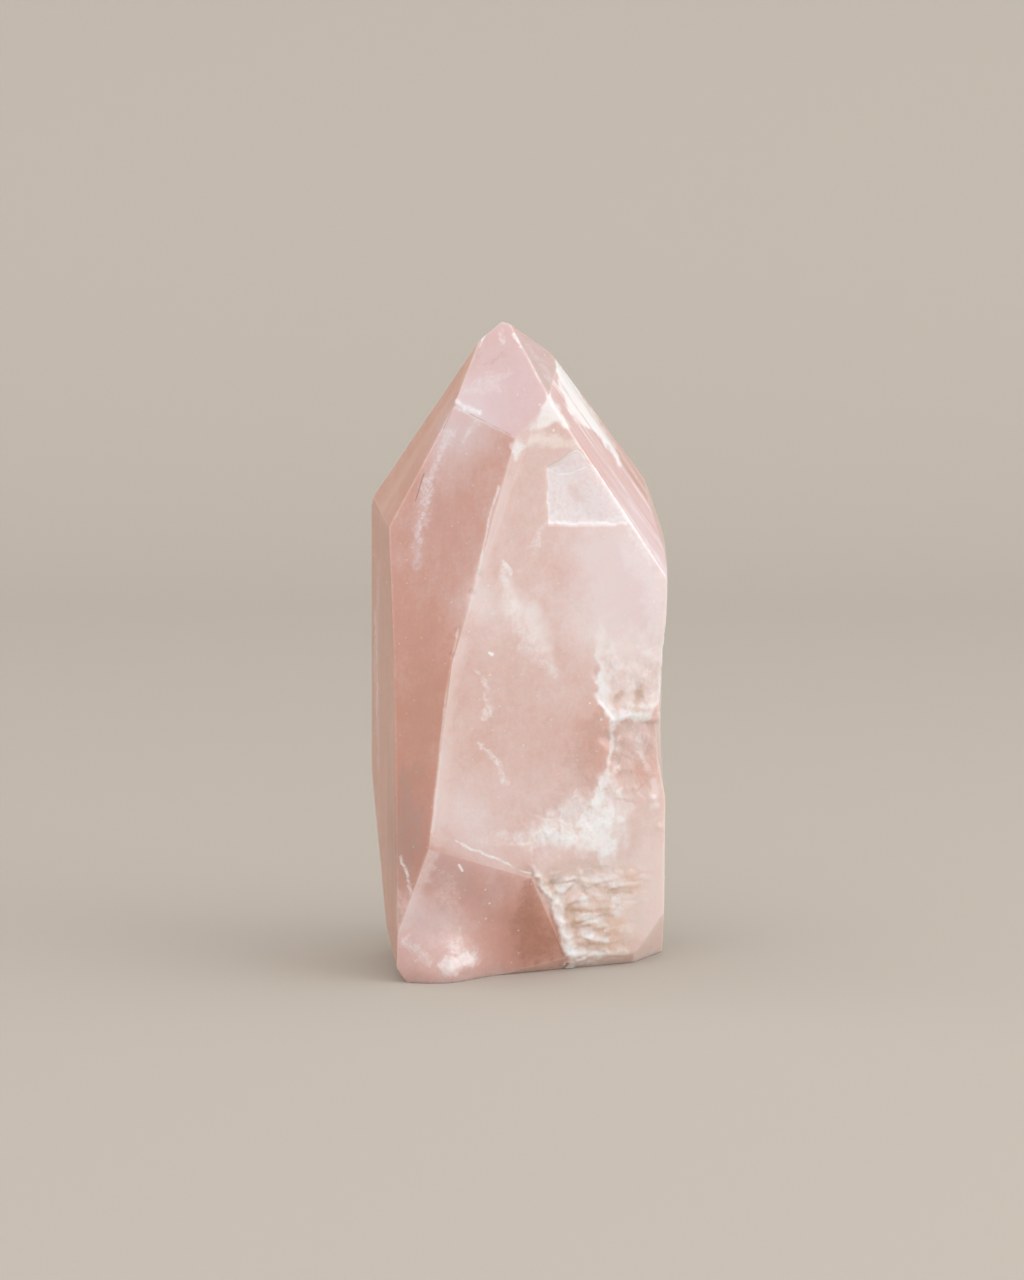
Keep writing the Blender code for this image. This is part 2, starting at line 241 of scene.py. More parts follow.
# The unground patch low on the back, and the chip above it: middle (x, z), radii and depth.
BACK_PATCH = ((11, 9), (12, 17), 0.5)
BACK_PATCH_RIM = 0.35
BACK_ROUGH = (0.45, 3.5, 0.1, 1.4)
BACK_CHIP = ((1, 27), (5, 7), 0.9)

# The way the skin moves, by how far round it is (azimuth), in front and behind.
FRONT_FACING = ((15, 22), (26, 82))
BACK_FACING = ((-4, 158), (10, 98))

# --- Patches of colour with an outline ----------------------------------------------------

# Each patch, on the front: outline (x, z), how ragged it is and how softly it ends.
PATCHES = {
    "lens": (
        (
            (-2, 58.6), (-2.8, 55.8), (-2.7, 53.2), (-1.2, 49.1), (2.3, 45.1), (5.9, 41.2),
            (5.8, 45), (4.8, 49.6), (3.3, 52.4), (-0.9, 56.9),
        ),
        0.8, 2,
    ),
    "frost": (
        (
            (-2.5, 20.8), (1.9, 22), (5.5, 23.9), (6.5, 25.2), (8.6, 26.2), (9.9, 25.9),
            (10.9, 27.6), (12.4, 29.8), (14.2, 33.4), (14.9, 31), (14.6, 27.9), (16.1, 24),
            (16.1, 20), (15.2, 17), (14.6, 13.8), (12.9, 14.6), (11.2, 15.8), (8, 16.6),
            (5.8, 17.4), (1, 18.2),
        ),
        1.5, 1.5,
    ),
    "crust": (
        (
            (10.7, 50), (10.5, 44.5), (10.8, 42.5), (10.5, 41), (11, 38.6), (12.7, 35.7),
            (13.5, 33.5), (14.4, 34.8), (16.1, 35.4), (17.5, 34.6), (19, 35.1), (22, 40), (22, 54),
            (16, 54),
        ),
        0.6, 0.5,
    ),
    "triangle": (
        (
            (4.4, 81.6), (3, 79.6), (2.2, 77.4), (0.9, 75.7), (3.6, 75.7), (5.6, 76.4), (7.6, 75.8),
            (6.2, 78.4),
        ),
        0.6, 0.7,
    ),
    "band": (
        (
            (4.7, 86), (5.2, 82.4), (6.1, 79.4), (8.2, 76.6), (11.2, 74.2), (14.5, 69), (13.8, 73),
            (11.7, 76.4), (10, 79), (8.5, 81.8), (6.8, 85.6),
        ),
        0.6, 0.5,
    ),
}
PATCH_PITCH = 2.2
PATCH_OCTAVES = 5

# How the crust fades upward and how its white rim begins and ends inside it, and how the white
# band fades toward the back.
CRUST_UP = ((40, 1), (53, 0))
CRUST_RIM = (1.6, 0.4)
BAND_DEPTH = ((-5, 1), (0.5, 0))

# Small areas of another colour in the natural skin: lines of points (x, z, half-width) on the
# front, each with its strength. Their width frays, their line wavers (across and up, by noises
# that are this far apart), and they fade from a share of their width to a little past it.
STREAK_RAGGED = (0.9, 1.1)
STREAK_WAVER = (0.25, 1.6)
STREAK_APART = 20.0
STREAK_SOFTNESS = (0.15, 0.3)
STREAKS = {
    "bloom": (
        (0.6, ((5.6, 13.4, 0.9), (6, 10.4, 0.7), (6.1, 7.2, 0.7), (7, 4.8, 0.9), (8.3, 2.6, 1.5))),
        (0.8, ((9.3, 10.2, 0.7), (9.5, 10, 0.6))),
        (0.8, ((9.7, 7.3, 0.6), (11.3, 7, 0.5))),
        (0.8, ((9.4, 5.2, 0.7), (10.4, 5.1, 0.7))),
        (0.6, ((13.7, 9.8, 0.9), (14, 7.9, 0.8))),
        (0.7, ((11.7, 4.1, 0.7), (12.4, 3.9, 0.6))),
        (0.6, ((8, 12.8, 0.8), (11.4, 12.9, 0.7), (14.4, 12.4, 0.5))),
        (0.6, ((9.4, 1.9, 0.9), (12.6, 2.2, 0.7))),
        (1, ((12.6, 22.2, 2.2), (9.8, 20.6, 2.6), (12.2, 17.8, 2))),
        (0.8, ((7.4, 19.6, 1.3), (3.4, 20.1, 1))),
        (0.8, ((12.4, 28.6, 0.6), (11.6, 25.8, 1.1), (10.6, 23.4, 1.7))),
        (0.75, ((11.4, 41.6, 0.7), (11.9, 39.3, 1), (12.6, 37, 0.8), (13.4, 34.2, 0.7))),
        (0.9, ((14.7, 36.2, 0.8), (16.8, 36, 0.8), (18.6, 35.8, 0.6))),
        (0.6, ((13.2, 33.8, 0.45), (12.9, 30.4, 0.3), (12.2, 28.4, 0.6))),
        (0.25, ((17.3, 32.8, 0.7), (18.6, 28.6, 0.6))),
        (0.4, ((19.2, 26.6, 0.6), (19, 23, 0.7))),
    ),
    "stain": (
        (0.5, ((14.2, 39.4, 0.5), (13.4, 37.6, 0.7))),
        (0.75, ((17.4, 40.2, 0.6), (16.8, 37, 0.9))),
        (0.9, ((5, 13.3, 0.8), (5.2, 12.5, 0.8))),
        (1, ((7.4, 9.2, 0.8), (7.5, 7, 1.1))),
        (0.6, ((9.6, 3.6, 0.7), (12.6, 2.6, 1))),
        (0.4, ((6.5, 11.2, 0.5), (6.5, 10.9, 0.5))),
        (0.9, ((7, 13.2, 0.3), (10.4, 12.6, 0.45), (11.8, 11.6, 0.5), (16, 10.6, 0.4))),
        (0.9, ((7.4, 9.4, 0.6), (9.5, 8.5, 0.45), (12.4, 8.3, 0.5), (13.7, 8.6, 0.35))),
        (0.9, ((6.8, 7.6, 0.4), (9.1, 6.8, 0.4), (11, 6.1, 0.45), (12.5, 4.6, 0.4))),
        (0.9, ((8.2, 4.2, 0.4), (10.9, 3.6, 0.45), (13.8, 2.4, 0.4))),
        (0.5, ((10, 23.8, 0.5), (9.2, 25.2, 0.6))),
    ),
    "blush": (
        (0.8, ((13.7, 6.4, 1.7), (13.4, 3.4, 1.4))),
        (0.6, ((15.5, 13.6, 1.8), (16.2, 11.2, 1.6))),
        (0.4, ((10.8, 9.4, 1), (12.4, 9.2, 1))),
    ),
}

# Broad changes of tone inside the stone: middle, radius, how much deeper (or milkier, below
# zero) and how much warmer (or more lilac, below zero) it looks there.
TONES = (
    ((-8, -11, 76), 5, -0.35, -0.5),
    ((-3, -14, 70), 5, -0.05, 0.15),
    ((-9.5, -12, 66), 6, 0.15, -0.1),
    ((-12, -13.5, 50), 9, 0.2, 0.05),
    ((-13, -14, 36), 10, 0.1, 0.1),
    ((-15, -14, 20), 8, 0.8, -0.1),
    ((-15.5, -14, 9), 5, 0.2, -0.2),
    ((-8, -9, 88), 5, -0.2, 0.3),
    ((13.5, -9.8, 60), 6.5, -0.45, -0.45),
    ((20, -7.2, 51), 7, -0.75, -0.45),
    ((-5.5, -16.4, 52), 4.5, -0.35, 0),
    ((14, -9.4, 50), 6, -0.35, -0.25),
    ((4, -12.5, 36), 8, 0.1, 0),
    ((10.5, -9.5, 35), 4.5, 0.25, 0.1),
    ((11.5, -8.8, 29.5), 3.5, 0.3, 0.1),
    ((-9, -16, 24), 5, -0.5, -0.15),
    ((14, -4.2, 6), 4.5, 0.1, 0.4),
    ((20, -2, 14), 7, -0.5, 0.1),
    ((3, -9.2, 6), 6, 0.8, 0.35),
    ((-9, -13, 14.5), 3.5, 0.5, 0),
    ((18, -6, 28.4), 2, 0.5, 0),
    ((-14, -14, 10), 4.5, -0.7, -0.1),
    ((-5.5, -14, 20), 4.5, -0.2, -0.2),
    ((17.5, -6.5, 8), 5, -0.7, -0.1),
    ((8, -9, 16), 5, -0.1, 0),
    # The back.
    ((-12, 14, 58), 11, -0.45, -0.3),
    ((12, 13, 34), 12, -0.5, -0.1),
    ((-4, 17, 26), 9, 0.3, 0.15),
    ((-14, 12, 8), 9, -0.4, 0.3),
    ((8, 10, 72), 9, -0.35, -0.4),
    ((-8, 8, 78), 6, 0.25, 0),
)

# --- Fineness of the mesh -----------------------------------------------------------------

# The finest spacing of its points; calmer places take every second or every fourth. The rows of
# its lattice lie closer. Points keep a little clear of a facet's rim. Two points this near are
# one, and a line that rises less than the last is level.
SPACING = 0.24
ROW = 0.866
CLEAR = 0.55
EDGE_BAND = 0.55
NEAR_EDGE = 1.3
SAME_PLACE = 1e-5
LEVEL = 1e-9

# Where the skin is broken and takes the finest mesh: how far round and how far up. The foot's
# zone begins further round the lower it is. The chip and the back take a middling mesh.
SCAB_ZONE = ((8.5, 30), (23, 53))
FOOT_ZONE = ((1, 24), (-1, 18))
FOOT_ZONE_LEAN = (0.3, 12.0)
FOOT_ZONE_BACK = 4.0
STEP_ZONE = ((-4, 21), (-5.5, 5.5))
WINDOW_ZONE = 0.9
PATCH_ZONE = (-0.5, 0.2)
KNOB_ZONE = 0.3
CHIP_ZONE = 1.0
BACK_ZONE = ((-5, 60), (-1, 37))
BACK_ZONE_MARGIN = 0.5

# How sharply the facets meet (higher is sharper), in 1/mm, and how much that varies, the turn
# between two facets (its sine) from which their edge shows, and how far from the edges the
# distance is kept. A point is on a facet when it is this close. Two directions whose product is
# lower are facets across the stone, and higher are the same facet. Points lower than the foot's
# rise stay flat.
SHARPNESS = 12.0
ROUNDING_STEPS = 3
SHARPNESS_UNEVEN = (0.5, 4)
EDGE_TURN = 0.2
EDGE_FAR = 4.0
ON_FACET = 1e-3
OPPOSITE = -0.5
SAME_WAY = 0.9999
FOOT_RISE = 0.01


def facing(azimuth, tilt=0.0):
    """The outward direction of a facet, as an array."""
    turn, lean = math.radians(azimuth), math.radians(tilt)
    level = math.cos(lean)
    return np.array((math.sin(turn) * level, -math.cos(turn) * level, math.sin(lean)))


# The outward direction of each facet and its distance from the origin, with the foot last.
NORMALS = np.array([facing(*facet[:2]) for facet in FACETS.values()] + [(0.0, 0.0, -1.0)])
DISTANCES = np.array([facet[2] for facet in FACETS.values()] + [0.0])
# A facet is seen from the front when it faces back by less than this, and one that faces front
# or back by less than the other is edge-on.
SEEN = 0.3
EDGE_ON = 0.01


def facings(azimuths):
    """Level outward directions for an array of azimuths."""
    turn = np.radians(azimuths)
    return np.stack((np.sin(turn), -np.cos(turn), np.zeros_like(turn)), axis=-1)


def ramp(value, start, end):
    """Zero at start, one at end, smooth between."""
    share = np.clip((value - start) / (end - start), 0.0, 1.0)
    return share * share * (3.0 - 2.0 * share)


def between(value, rise, fall):
    """One between two ramps."""
    return ramp(value, *rise) * ramp(value, *fall)


def across_edge(value, edge, softness):
    """Zero before an edge and one past it, turning over the softness to either side."""
    return ramp(value, edge - softness, edge + softness)


def along(stops, place):
    """The value at each place, smooth between the stops and level beyond them."""
    value = np.full_like(place, stops[0][1])
    for before, after in zip(stops, stops[1:]):
        value += (after[1] - before[1]) * ramp(place, before[0], after[0])
    return value


def within(value, limits):
    """True between two limits."""
    return (value > limits[0]) & (value < limits[1])


def mound(across, up, middle, radii):
    """A smooth round hump of height one that fades out on an ellipse."""
    reach = np.hypot((across - middle[0]) / radii[0], (up - middle[1]) / radii[1])
    return 1.0 - ramp(reach, 0.0, 1.0)


def lumps(places, height, pitch):
    """Natural unevenness to either side of zero, with lumps about one pitch apart."""
    return height * np.array([noise.noise(place) for place in (places / pitch).tolist()])


def grain(places, height, pitch, octaves=4):
    """Unevenness with finer and finer detail, from a pitch down."""
    finer = [noise.fractal(place, 1.0, 2.0, octaves) for place in (places / pitch).tolist()]
    return height * np.array(finer)


def rough(places, height, pitch, grain_height, grain_pitch):
    """Lumps with a grain over them."""
    return lumps(places, height, pitch) + grain(places, grain_height, grain_pitch)


def shards(places, pitch, stretch):
    """Broken pieces: the level of each and its lean, from -1 to 1, and 1 inside to 0 at its rim."""
    bent = places / (pitch * np.array(stretch)) + grain(places, SHARD_BEND, 2.0 * pitch)[:, None]
    levels, leans, insides = [], [], []
    for place in bent.tolist():
        distances, points = noise.voronoi(place)
        middle = points[0]
        levels.append(2.0 * noise.cell(middle * LEVEL_SEED) - 1.0)
        turn = math.tau * noise.cell(middle * LEAN_SEED)
        x, z = place[0] - middle.x, place[2] - middle.z
        leans.append(x * math.cos(turn) + z * math.sin(turn))
        insides.append(distances[1] - distances[0])
    return np.array(levels), np.array(leans), ramp(np.array(insides), 0.0, SHARD_RIM)


def on_axis(values, axis):
    """Points along one axis only, so that unevenness follows one measure."""
    points = np.zeros((len(values), 3))
    points[:, axis] = values
    return points


class Skin:
    """The natural skin at each point: how deep it lies, and what kind it is."""

    def __init__(self, places):
        self.places = places
        self.x, self.y, self.up = places.T
        self.round = round_the_front(places)
        self.front = along(SIDE_FADE, self.y)
        self.masks = {}

    def scab(self):
        """The rough plateau on the right edge, and the deeper hollow under its ledge."""
        level = on_axis(self.round, 0)
        waver = along(LEDGE_WAVER, self.round) * lumps(level, 1.0, LEDGE_WAVER_PITCH)
        waver += grain(level, *LEDGE_RAGGED)
        above = across_edge(self.up, LEDGE + waver, LEDGE_SOFTNESS)
        waver = lumps(on_axis(self.up, 2), *PLATEAU_WAVER)
        edge = along(PLATEAU_EDGE, self.up) + waver + grain(self.places, *PLATEAU_RAGGED)
        plateau = across_edge(self.round, edge, PLATEAU_SOFTNESS) * along(PLATEAU_UP, self.up)
        plateau *= above
        edge = along(HOLLOW_EDGE, self.up) + waver
        hollow = across_edge(self.round, edge, HOLLOW_SOFTNESS) * along(HOLLOW_UP, self.up)
        hollow *= 1.0 - above
        self.masks["hollow"] = hollow * self.front
        plateau *= along(PLATEAU_DEPTH, self.round) + rough(self.places, *PLATEAU_ROUGH)
        hollow *= along(HOLLOW_DEPTH, self.round) + rough(self.places, *HOLLOW_ROUGH)
        return plateau + hollow

    def pits(self):
        """The small pits in the front skin."""
        ragged = grain(self.places, *PIT_RAGGED)
        place = self.round + ragged, self.up + ragged
        return sum(depth * mound(*place, middle, radii) for middle, radii, depth in PITS)

    def rubble(self):
        """The lumpy natural skin above the right foot."""
        mask = across_edge(self.round, along(RUBBLE_EDGE, self.up), RUBBLE_SOFTNESS)
        mask *= along(RUBBLE_UP, self.up) * along(RUBBLE_ROUND, self.round)
        level, lean, inside = shards(self.places, RUBBLE_SHARD, RUBBLE_STRETCH)
        self.masks["rubble"] = mask * self.front
        self.masks["shard"] = 0.5 + 0.5 * level * inside
        self.masks["crevice"] = mask * self.front * (1.0 - inside)
        rise = RUBBLE_PILLOW * inside * (RUBBLE_EVEN + (1.0 - RUBBLE_EVEN) * level)
        rise += RUBBLE_LEAN * lean
        return mask * (RUBBLE_DEPTH - rise + rough(self.places, *RUBBLE_ROUGH))

    def steps(self):
        """The broken steps that cross the foot of the broad front facet."""
        mask = along(STEP_WIDTH, np.abs(self.up - step_height(self.round)))
        mask *= along(STEP_ALONG, self.round)
        level, lean, _ = shards(self.places + STEP_APART, STEP_SHARD, STEP_STRETCH)
        self.masks["step"] = mask * self.front
        self.masks["flake"] = mask * self.front * (0.5 + 0.5 * level)
        rise = STEP_LEVEL * level + STEP_LEAN * lean
        return mask * (STEP_DEPTH + lumps(self.places, *STEP_UNEVEN) - rise)

    def rim(self):
        """The broken edge along the right of the front chip, and the chip sunk beside it."""
        across = self.x - np.interp(self.up, *zip(*RIM_LINE)) + grain(self.places, *RIM_RAGGED)
        on = along(RIM_UP, self.up) * (self.y < SIDE_END)
        rise = between(across, *RIM_LIP) * (RIM_EVEN + grain(self.places, *RIM_UNEVEN))
        self.masks["rim"] = on * between(across, *RIM_WHITE)
        return on * (RIM_SINK * between(across, *RIM_CHIP) - RIM_RISE * rise)

    def chip(self):
        """How far the foot of the front chip flares back out, with its hollow above."""
        flare = FLARE * mound(self.x, 0.0, (FLARE_MIDDLE, 0.0), (FLARE_RADIUS, 1.0))
        middle, radii, depth = CHIP_HOLLOW
        hollow = depth * mound(self.x, self.up, middle, radii)
        uneven = rough(self.places, *CHIP_ROUGH) * along(CHIP_UP, self.up)
        return flare * along(FLARE_UP, self.up) - hollow + uneven

    def back(self):
        """The unground patch low on the back, and the chip above it."""
        middle, radii, depth = BACK_PATCH
        mask = ramp(mound(self.x, self.up, middle, radii), 0.0, BACK_PATCH_RIM)
        patch = mask * (depth + rough(self.places, *BACK_ROUGH))
        middle, radii, depth = BACK_CHIP
        chip = mound(self.x, self.up, middle, radii)
        self.masks["back"] = np.maximum(mask, chip) * (self.y > SIDE_END)
        return patch + depth * chip

    def moves(self):
        """How each point on the skin moves from its facet, level all round."""
        outward = facings(along(FRONT_FACING, self.round))
        front = self.scab() + self.pits() + self.rubble() + self.steps()
        moves = outward * (-front * self.front)[:, None]
        foot, lean = CHIP_LINE
        on_chip = 1.0 - across_edge(self.x, foot - lean * self.up, CHIP_SOFTNESS)
        chip = facing(CHIP_FACING) * (self.chip() * on_chip)[:, None]
        in_chip = (self.x < CHIP_END) & (self.up < CHIP_TOP) & (self.y < CHIP_BACK)
        moves = np.where(in_chip[:, None], chip, moves)
        back = facings(along(BACK_FACING, self.x - self.y)) * -self.back()[:, None]
        moves = np.where((self.y > SIDE_END)[:, None], back, moves)
        moves -= facing(CHIP_FACING) * (self.rim() * (self.y < RIM_BACK))[:, None]
        for middle, radius, rise in KNOBS:
            near = 1.0 - ramp(np.linalg.norm(self.places - middle, axis=1) / radius, 0.0, 1.0)
            moves += outward * (rise * near * ramp(self.up, 0.0, KNOB_FOOT))[:, None]
        return moves


def round_the_front(places):
    """How far round the front each point lies: X, then back along the right side."""
    return places[:, 0] + np.maximum(0.0, places[:, 1] - CORNER_Y)


def step_height(round_):
    """How high the line of the broken steps runs."""
    start, height = STEP_START
    return height + STEP_SLOPE * np.maximum(round_ - start, 0.0)


def from_line(points, start, run):
    """How far along a line each point (x, z) lies, from 0 to 1, and how far off it."""
    share = np.clip((points - start) @ run / (run @ run), 0.0, 1.0)
    return share, np.linalg.norm(points - start - share[:, None] * run, axis=1)


def outline_distance(points, outline):
    """How far each point (x, z) lies inside a closed outline; negative outside it."""
    nearest = np.full(len(points), np.inf)
    inside = np.zeros(len(points), bool)
    for start, end in zip(outline, outline[1:] + outline[:1]):
        run = np.array(end) - start
        nearest = np.minimum(nearest, from_line(points, start, run)[1])
        crosses = (start[1] > points[:, 1]) != (end[1] > points[:, 1])
        rise = run[1] if abs(run[1]) > LEVEL else LEVEL
        inside ^= crosses & (points[:, 0] < start[0] + run[0] * (points[:, 1] - start[1]) / rise)
    return np.where(inside, nearest, -nearest)


def below(places, name):
    """How far each point lies under the plane of a facet."""
    number = ORDER.index(name)
    return DISTANCES[number] - places @ NORMALS[number]


def window_mask(places):
    """One in the window broken into the broad front, turning to zero over its sloping walls."""
    near = below(places, WINDOW_FACET) < WINDOW_REACH
    depth = outline_distance(places[:, (0, 2)], WINDOW_OUTLINE) + grain(places, *WINDOW_RAGGED)
    return ramp(depth, -0.5 * WINDOW_WALL, 0.5 * WINDOW_WALL) * near


def turned_front(places):
    """One on the facets that are seen from the front, zero on the others."""
    own = (DISTANCES[:-1] - places @ NORMALS[:-1].T).argmin(axis=1)
    return (NORMALS[own, 1] < SEEN).astype(float)


def patch_mask(places, name):
    """One in a patch, falling to zero at its ragged outline, and how far inside it a point is."""
    outline, ragged, softness = PATCHES[name]
    depth = outline_distance(places[:, (0, 2)], outline)
    depth += grain(places, ragged, PATCH_PITCH, PATCH_OCTAVES)
    return ramp(depth, 0.0, softness) * turned_front(places), depth


def streaks(places, lines):
    """How strongly a ragged streak along some lines shows at each point of the front."""
    waver = [grain(places + apart, *STREAK_WAVER) for apart in (0.0, STREAK_APART)]
    flat = places[:, (0, 2)] + np.stack(waver, axis=-1)
    fray = 1.0 + grain(places, *STREAK_RAGGED)
    outer, inner = STREAK_SOFTNESS
    most = np.zeros(len(places))
    for strength, points in lines:
        for start, end in zip(points, points[1:]):
            share, gap = from_line(flat, start[:2], np.array(end[:2]) - start[:2])
            width = (start[2] + share * (end[2] - start[2])) * fray
            most = np.maximum(most, strength * ramp(gap, width + outer, width * inner))
    return most * turned_front(places)


def on_stone(x, z, front=True):
    """The point on the front or the back of the ground stone at a place across and up."""
    depths = []
    for normal, distance in zip(NORMALS[:-1], DISTANCES):
        if (normal[1] < -EDGE_ON) if front else (normal[1] > EDGE_ON):
            depths.append((distance - normal[0] * x - normal[2] * z) / normal[1])
    return x, max(depths) if front else min(depths), z


def tones(places):
    """How much deeper and how much warmer the stone looks at each point."""
    deeper, warmer = np.zeros(len(places)), np.zeros(len(places))
    for middle, radius, depth, warmth in TONES:
        near = np.exp(-((places - middle) ** 2).sum(axis=1) / (radius * radius))
        deeper += depth * near
        warmer += warmth * near
    return deeper, warmer


# --- Making the stone ---------------------------------------------------------------------


def ground_block():
    """The block of stone with every facet ground flat."""
    stone = bmesh.new()
    bmesh.ops.create_cube(stone, size=1.0)
    bmesh.ops.scale(stone, vec=BLOCK_SIZE, verts=stone.verts)
    bmesh.ops.translate(stone, vec=Vector((0.0, 0.0, BLOCK_SIZE.z / 2.0)), verts=stone.verts)
    for azimuth, tilt, distance, *_ in FACETS.values():
        normal = Vector(facing(azimuth, tilt))
        parts = stone.verts[:] + stone.edges[:] + stone.faces[:]
        cut = bmesh.ops.bisect_plane(
            stone, geom=parts, plane_co=normal * distance, plane_no=normal, clear_outer=True
        )
        rim = [part for part in cut["geom_cut"] if isinstance(part, bmesh.types.BMEdge)]
        bmesh.ops.contextual_create(stone, geom=rim)
    stone.normal_update()
    return stone


def lattice(low, high, pitch):
    """Points of a triangular lattice over a rectangle, each with its level of coarseness."""
    rows = int((high[1] - low[1]) / (pitch * ROW)) + 2
    columns = int((high[0] - low[0]) / pitch) + 2
    points, levels = [], []
    for row in range(rows):
        first = -(row // 2)
        column = np.arange(first, first + columns)
        across = low[0] + (column + row / 2.0) * pitch
        points.append(np.stack((across, np.full(columns, low[1] + row * pitch * ROW)), axis=-1))
        coarse = [(column % every == 0) & (row % every == 0) for every in (2, 4)]
        levels.append(coarse[0].astype(int) + coarse[1])
    return np.concatenate(points), np.concatenate(levels)


def rough_places(places):
    """Where the surface is broken or a patch ends, and the finest mesh is needed."""
    _, y, up = places.T
    round_ = round_the_front(places)
    scab = within(round_, SCAB_ZONE[0]) & within(up, SCAB_ZONE[1]) & (y < SIDE_END)
    slope, top = FOOT_ZONE_LEAN
    foot = within(round_ - slope * np.maximum(0.0, top - up), (FOOT_ZONE[0][0], math.inf))
    foot &= (round_ < FOOT_ZONE[0][1]) & within(up, FOOT_ZONE[1]) & (y < FOOT_ZONE_BACK)
    steps = within(round_, STEP_ZONE[0]) & within(up - step_height(round_), STEP_ZONE[1])
    steps &= y < 0.0
    flat = places[:, (0, 2)]
    rims = np.abs(outline_distance(flat, WINDOW_OUTLINE)) < WINDOW_ZONE
    for outline, ragged, softness in PATCHES.values():
        limits = PATCH_ZONE[0] - ragged, PATCH_ZONE[1] + ragged + softness
        rims |= within(outline_distance(flat, outline), limits)
    knobs = np.zeros(len(places), bool)
    for middle, radius, _ in KNOBS:
        knobs |= np.linalg.norm(places - middle, axis=1) < radius + KNOB_ZONE
    return scab | foot | steps | knobs | (rims & (turned_front(places) > 0.5))


def finer_places(places):
    """Where the surface is uneven and needs a middling mesh: the chip and the unground back."""
    x, y, up = places.T
    chip = (x < CHIP_END + CHIP_ZONE) & (up < CHIP_TOP + CHIP_ZONE) & (y < CHIP_BACK)
    back = within(x, BACK_ZONE[0]) & within(up, BACK_ZONE[1])
    return chip | (back & (y > SIDE_END - BACK_ZONE_MARGIN))


class Net:
    """The points and triangles of the fine mesh, and the facet that each triangle is on."""

    def __init__(self, stone):
        self.points = [tuple(vert.co) for vert in stone.verts]
        self.triangles = []
        self.facets = []
        self.sides = {}

    def side(self, edge):
        """The numbers of the points along an edge, from its first end to its other."""
        if edge.index not in self.sides:
            start, end = edge.verts
            steps = max(1, round(edge.calc_length() / SPACING))
            inner = range(len(self.points), len(self.points) + steps - 1)
            for step in range(1, steps):
                self.points.append(tuple(start.co.lerp(end.co, step / steps)))
            self.sides[edge.index] = (start.index, [start.index, *inner, end.index])
        return self.sides[edge.index]

    def rim(self, face):
        """The numbers of the points round a face."""
        found = []
        for loop in face.loops:
            first, numbers = self.side(loop.edge)
            found += numbers[:-1] if first == loop.vert.index else numbers[:0:-1]
        return found

    def fill(self, face):
        """Cover a facet with small triangles: fine at its rim and where the skin is rough."""
        facet = facet_name(face.normal)
        normal = np.array(face.normal)
        across = np.array(face.normal.orthogonal().normalized())
        axes = np.stack((across, np.cross(normal, across)), axis=-1)
        origin = np.array(face.calc_center_median())
        rim = self.rim(face)
        flat = (np.array([self.points[number] for number in rim]) - origin) @ axes
        inner, levels = lattice(flat.min(axis=0), flat.max(axis=0), SPACING)
        corners = (np.array([vert.co for vert in face.verts]) - origin) @ axes
        clear = outline_distance(inner, tuple(map(tuple, corners)))
        places = origin + inner @ axes.T
        wanted = np.where((clear < NEAR_EDGE) | finer_places(places), 1, 2)
        wanted = np.where((clear < EDGE_BAND) | rough_places(places), 0, wanted)
        if facet == "foot":
            wanted = np.where(clear < EDGE_BAND, 0, 2)
        keep = (clear > CLEAR * SPACING) & (levels >= wanted)
        inner, places = inner[keep], places[keep]
        numbers = rim + list(range(len(self.points), len(self.points) + len(inner)))
        self.points += [tuple(place) for place in places]
        flat = [Vector(point) for point in np.concatenate((flat, inner)).tolist()]
        ring = [(number, (number + 1) % len(rim)) for number in range(len(rim))]
        _, _, triangles, origins, *_ = geometry.delaunay_2d_cdt(flat, ring, [], 1, SAME_PLACE)
        for triangle in triangles:
            corners = [numbers[origins[number][0]] for number in triangle]
            a, b, c = (np.array(self.points[number]) for number in corners)
            if np.dot(np.cross(b - a, c - a), normal) < 0.0:
                corners.reverse()
            self.triangles.append(corners)
            self.facets.append(facet)


def facet_name(normal):
    """The name of the facet that faces a way, or foot."""
    match = NORMALS[:-1] @ np.array(normal)
    return ORDER[match.argmax()] if match.max() > SAME_WAY else "foot"


def round_edges(places):
    """Draw the points in where facets meet, as polishing does."""
    sharpness = SHARPNESS * (1.0 + lumps(places, *SHARPNESS_UNEVEN))
    places = places.copy()
    for _ in range(ROUNDING_STEPS):
        gaps = (places @ NORMALS.T - DISTANCES) * sharpness[:, None]
        top = gaps.max(axis=1)
        weights = np.exp(gaps - top[:, None])
        total = weights.sum(axis=1)
        height = (top + np.log(total)) / sharpness
        slope = (weights / total[:, None]) @ NORMALS
        places -= slope * (height / (slope * slope).sum(axis=1))[:, None]
    return places


def edge_distance(places):
    """How far each point lies from the nearest edge between facets that differ clearly."""
    gaps = DISTANCES - places @ NORMALS.T
    cosines = np.clip(NORMALS @ NORMALS.T, -1.0, 1.0)
    sines = np.sqrt(1.0 - cosines * cosines)
    nearest = np.full(len(places), EDGE_FAR)
    for own in range(len(NORMALS)):
        on_it = gaps[:, own] < ON_FACET
        for other in range(len(NORMALS)):
            turned = sines[own, other] > EDGE_TURN and cosines[own, other] > OPPOSITE
            if other != own and turned:
                reach = gaps[on_it, other] / sines[own, other]
                nearest[on_it] = np.minimum(nearest[on_it], reach)
    return nearest


def store(mesh, name, values, domain="POINT"):
    """Keep one number for each point or face under a name that the material reads."""
    attribute = mesh.attributes.new(name, "FLOAT", domain)
    attribute.data.foreach_set("value", np.asarray(values, np.float32))


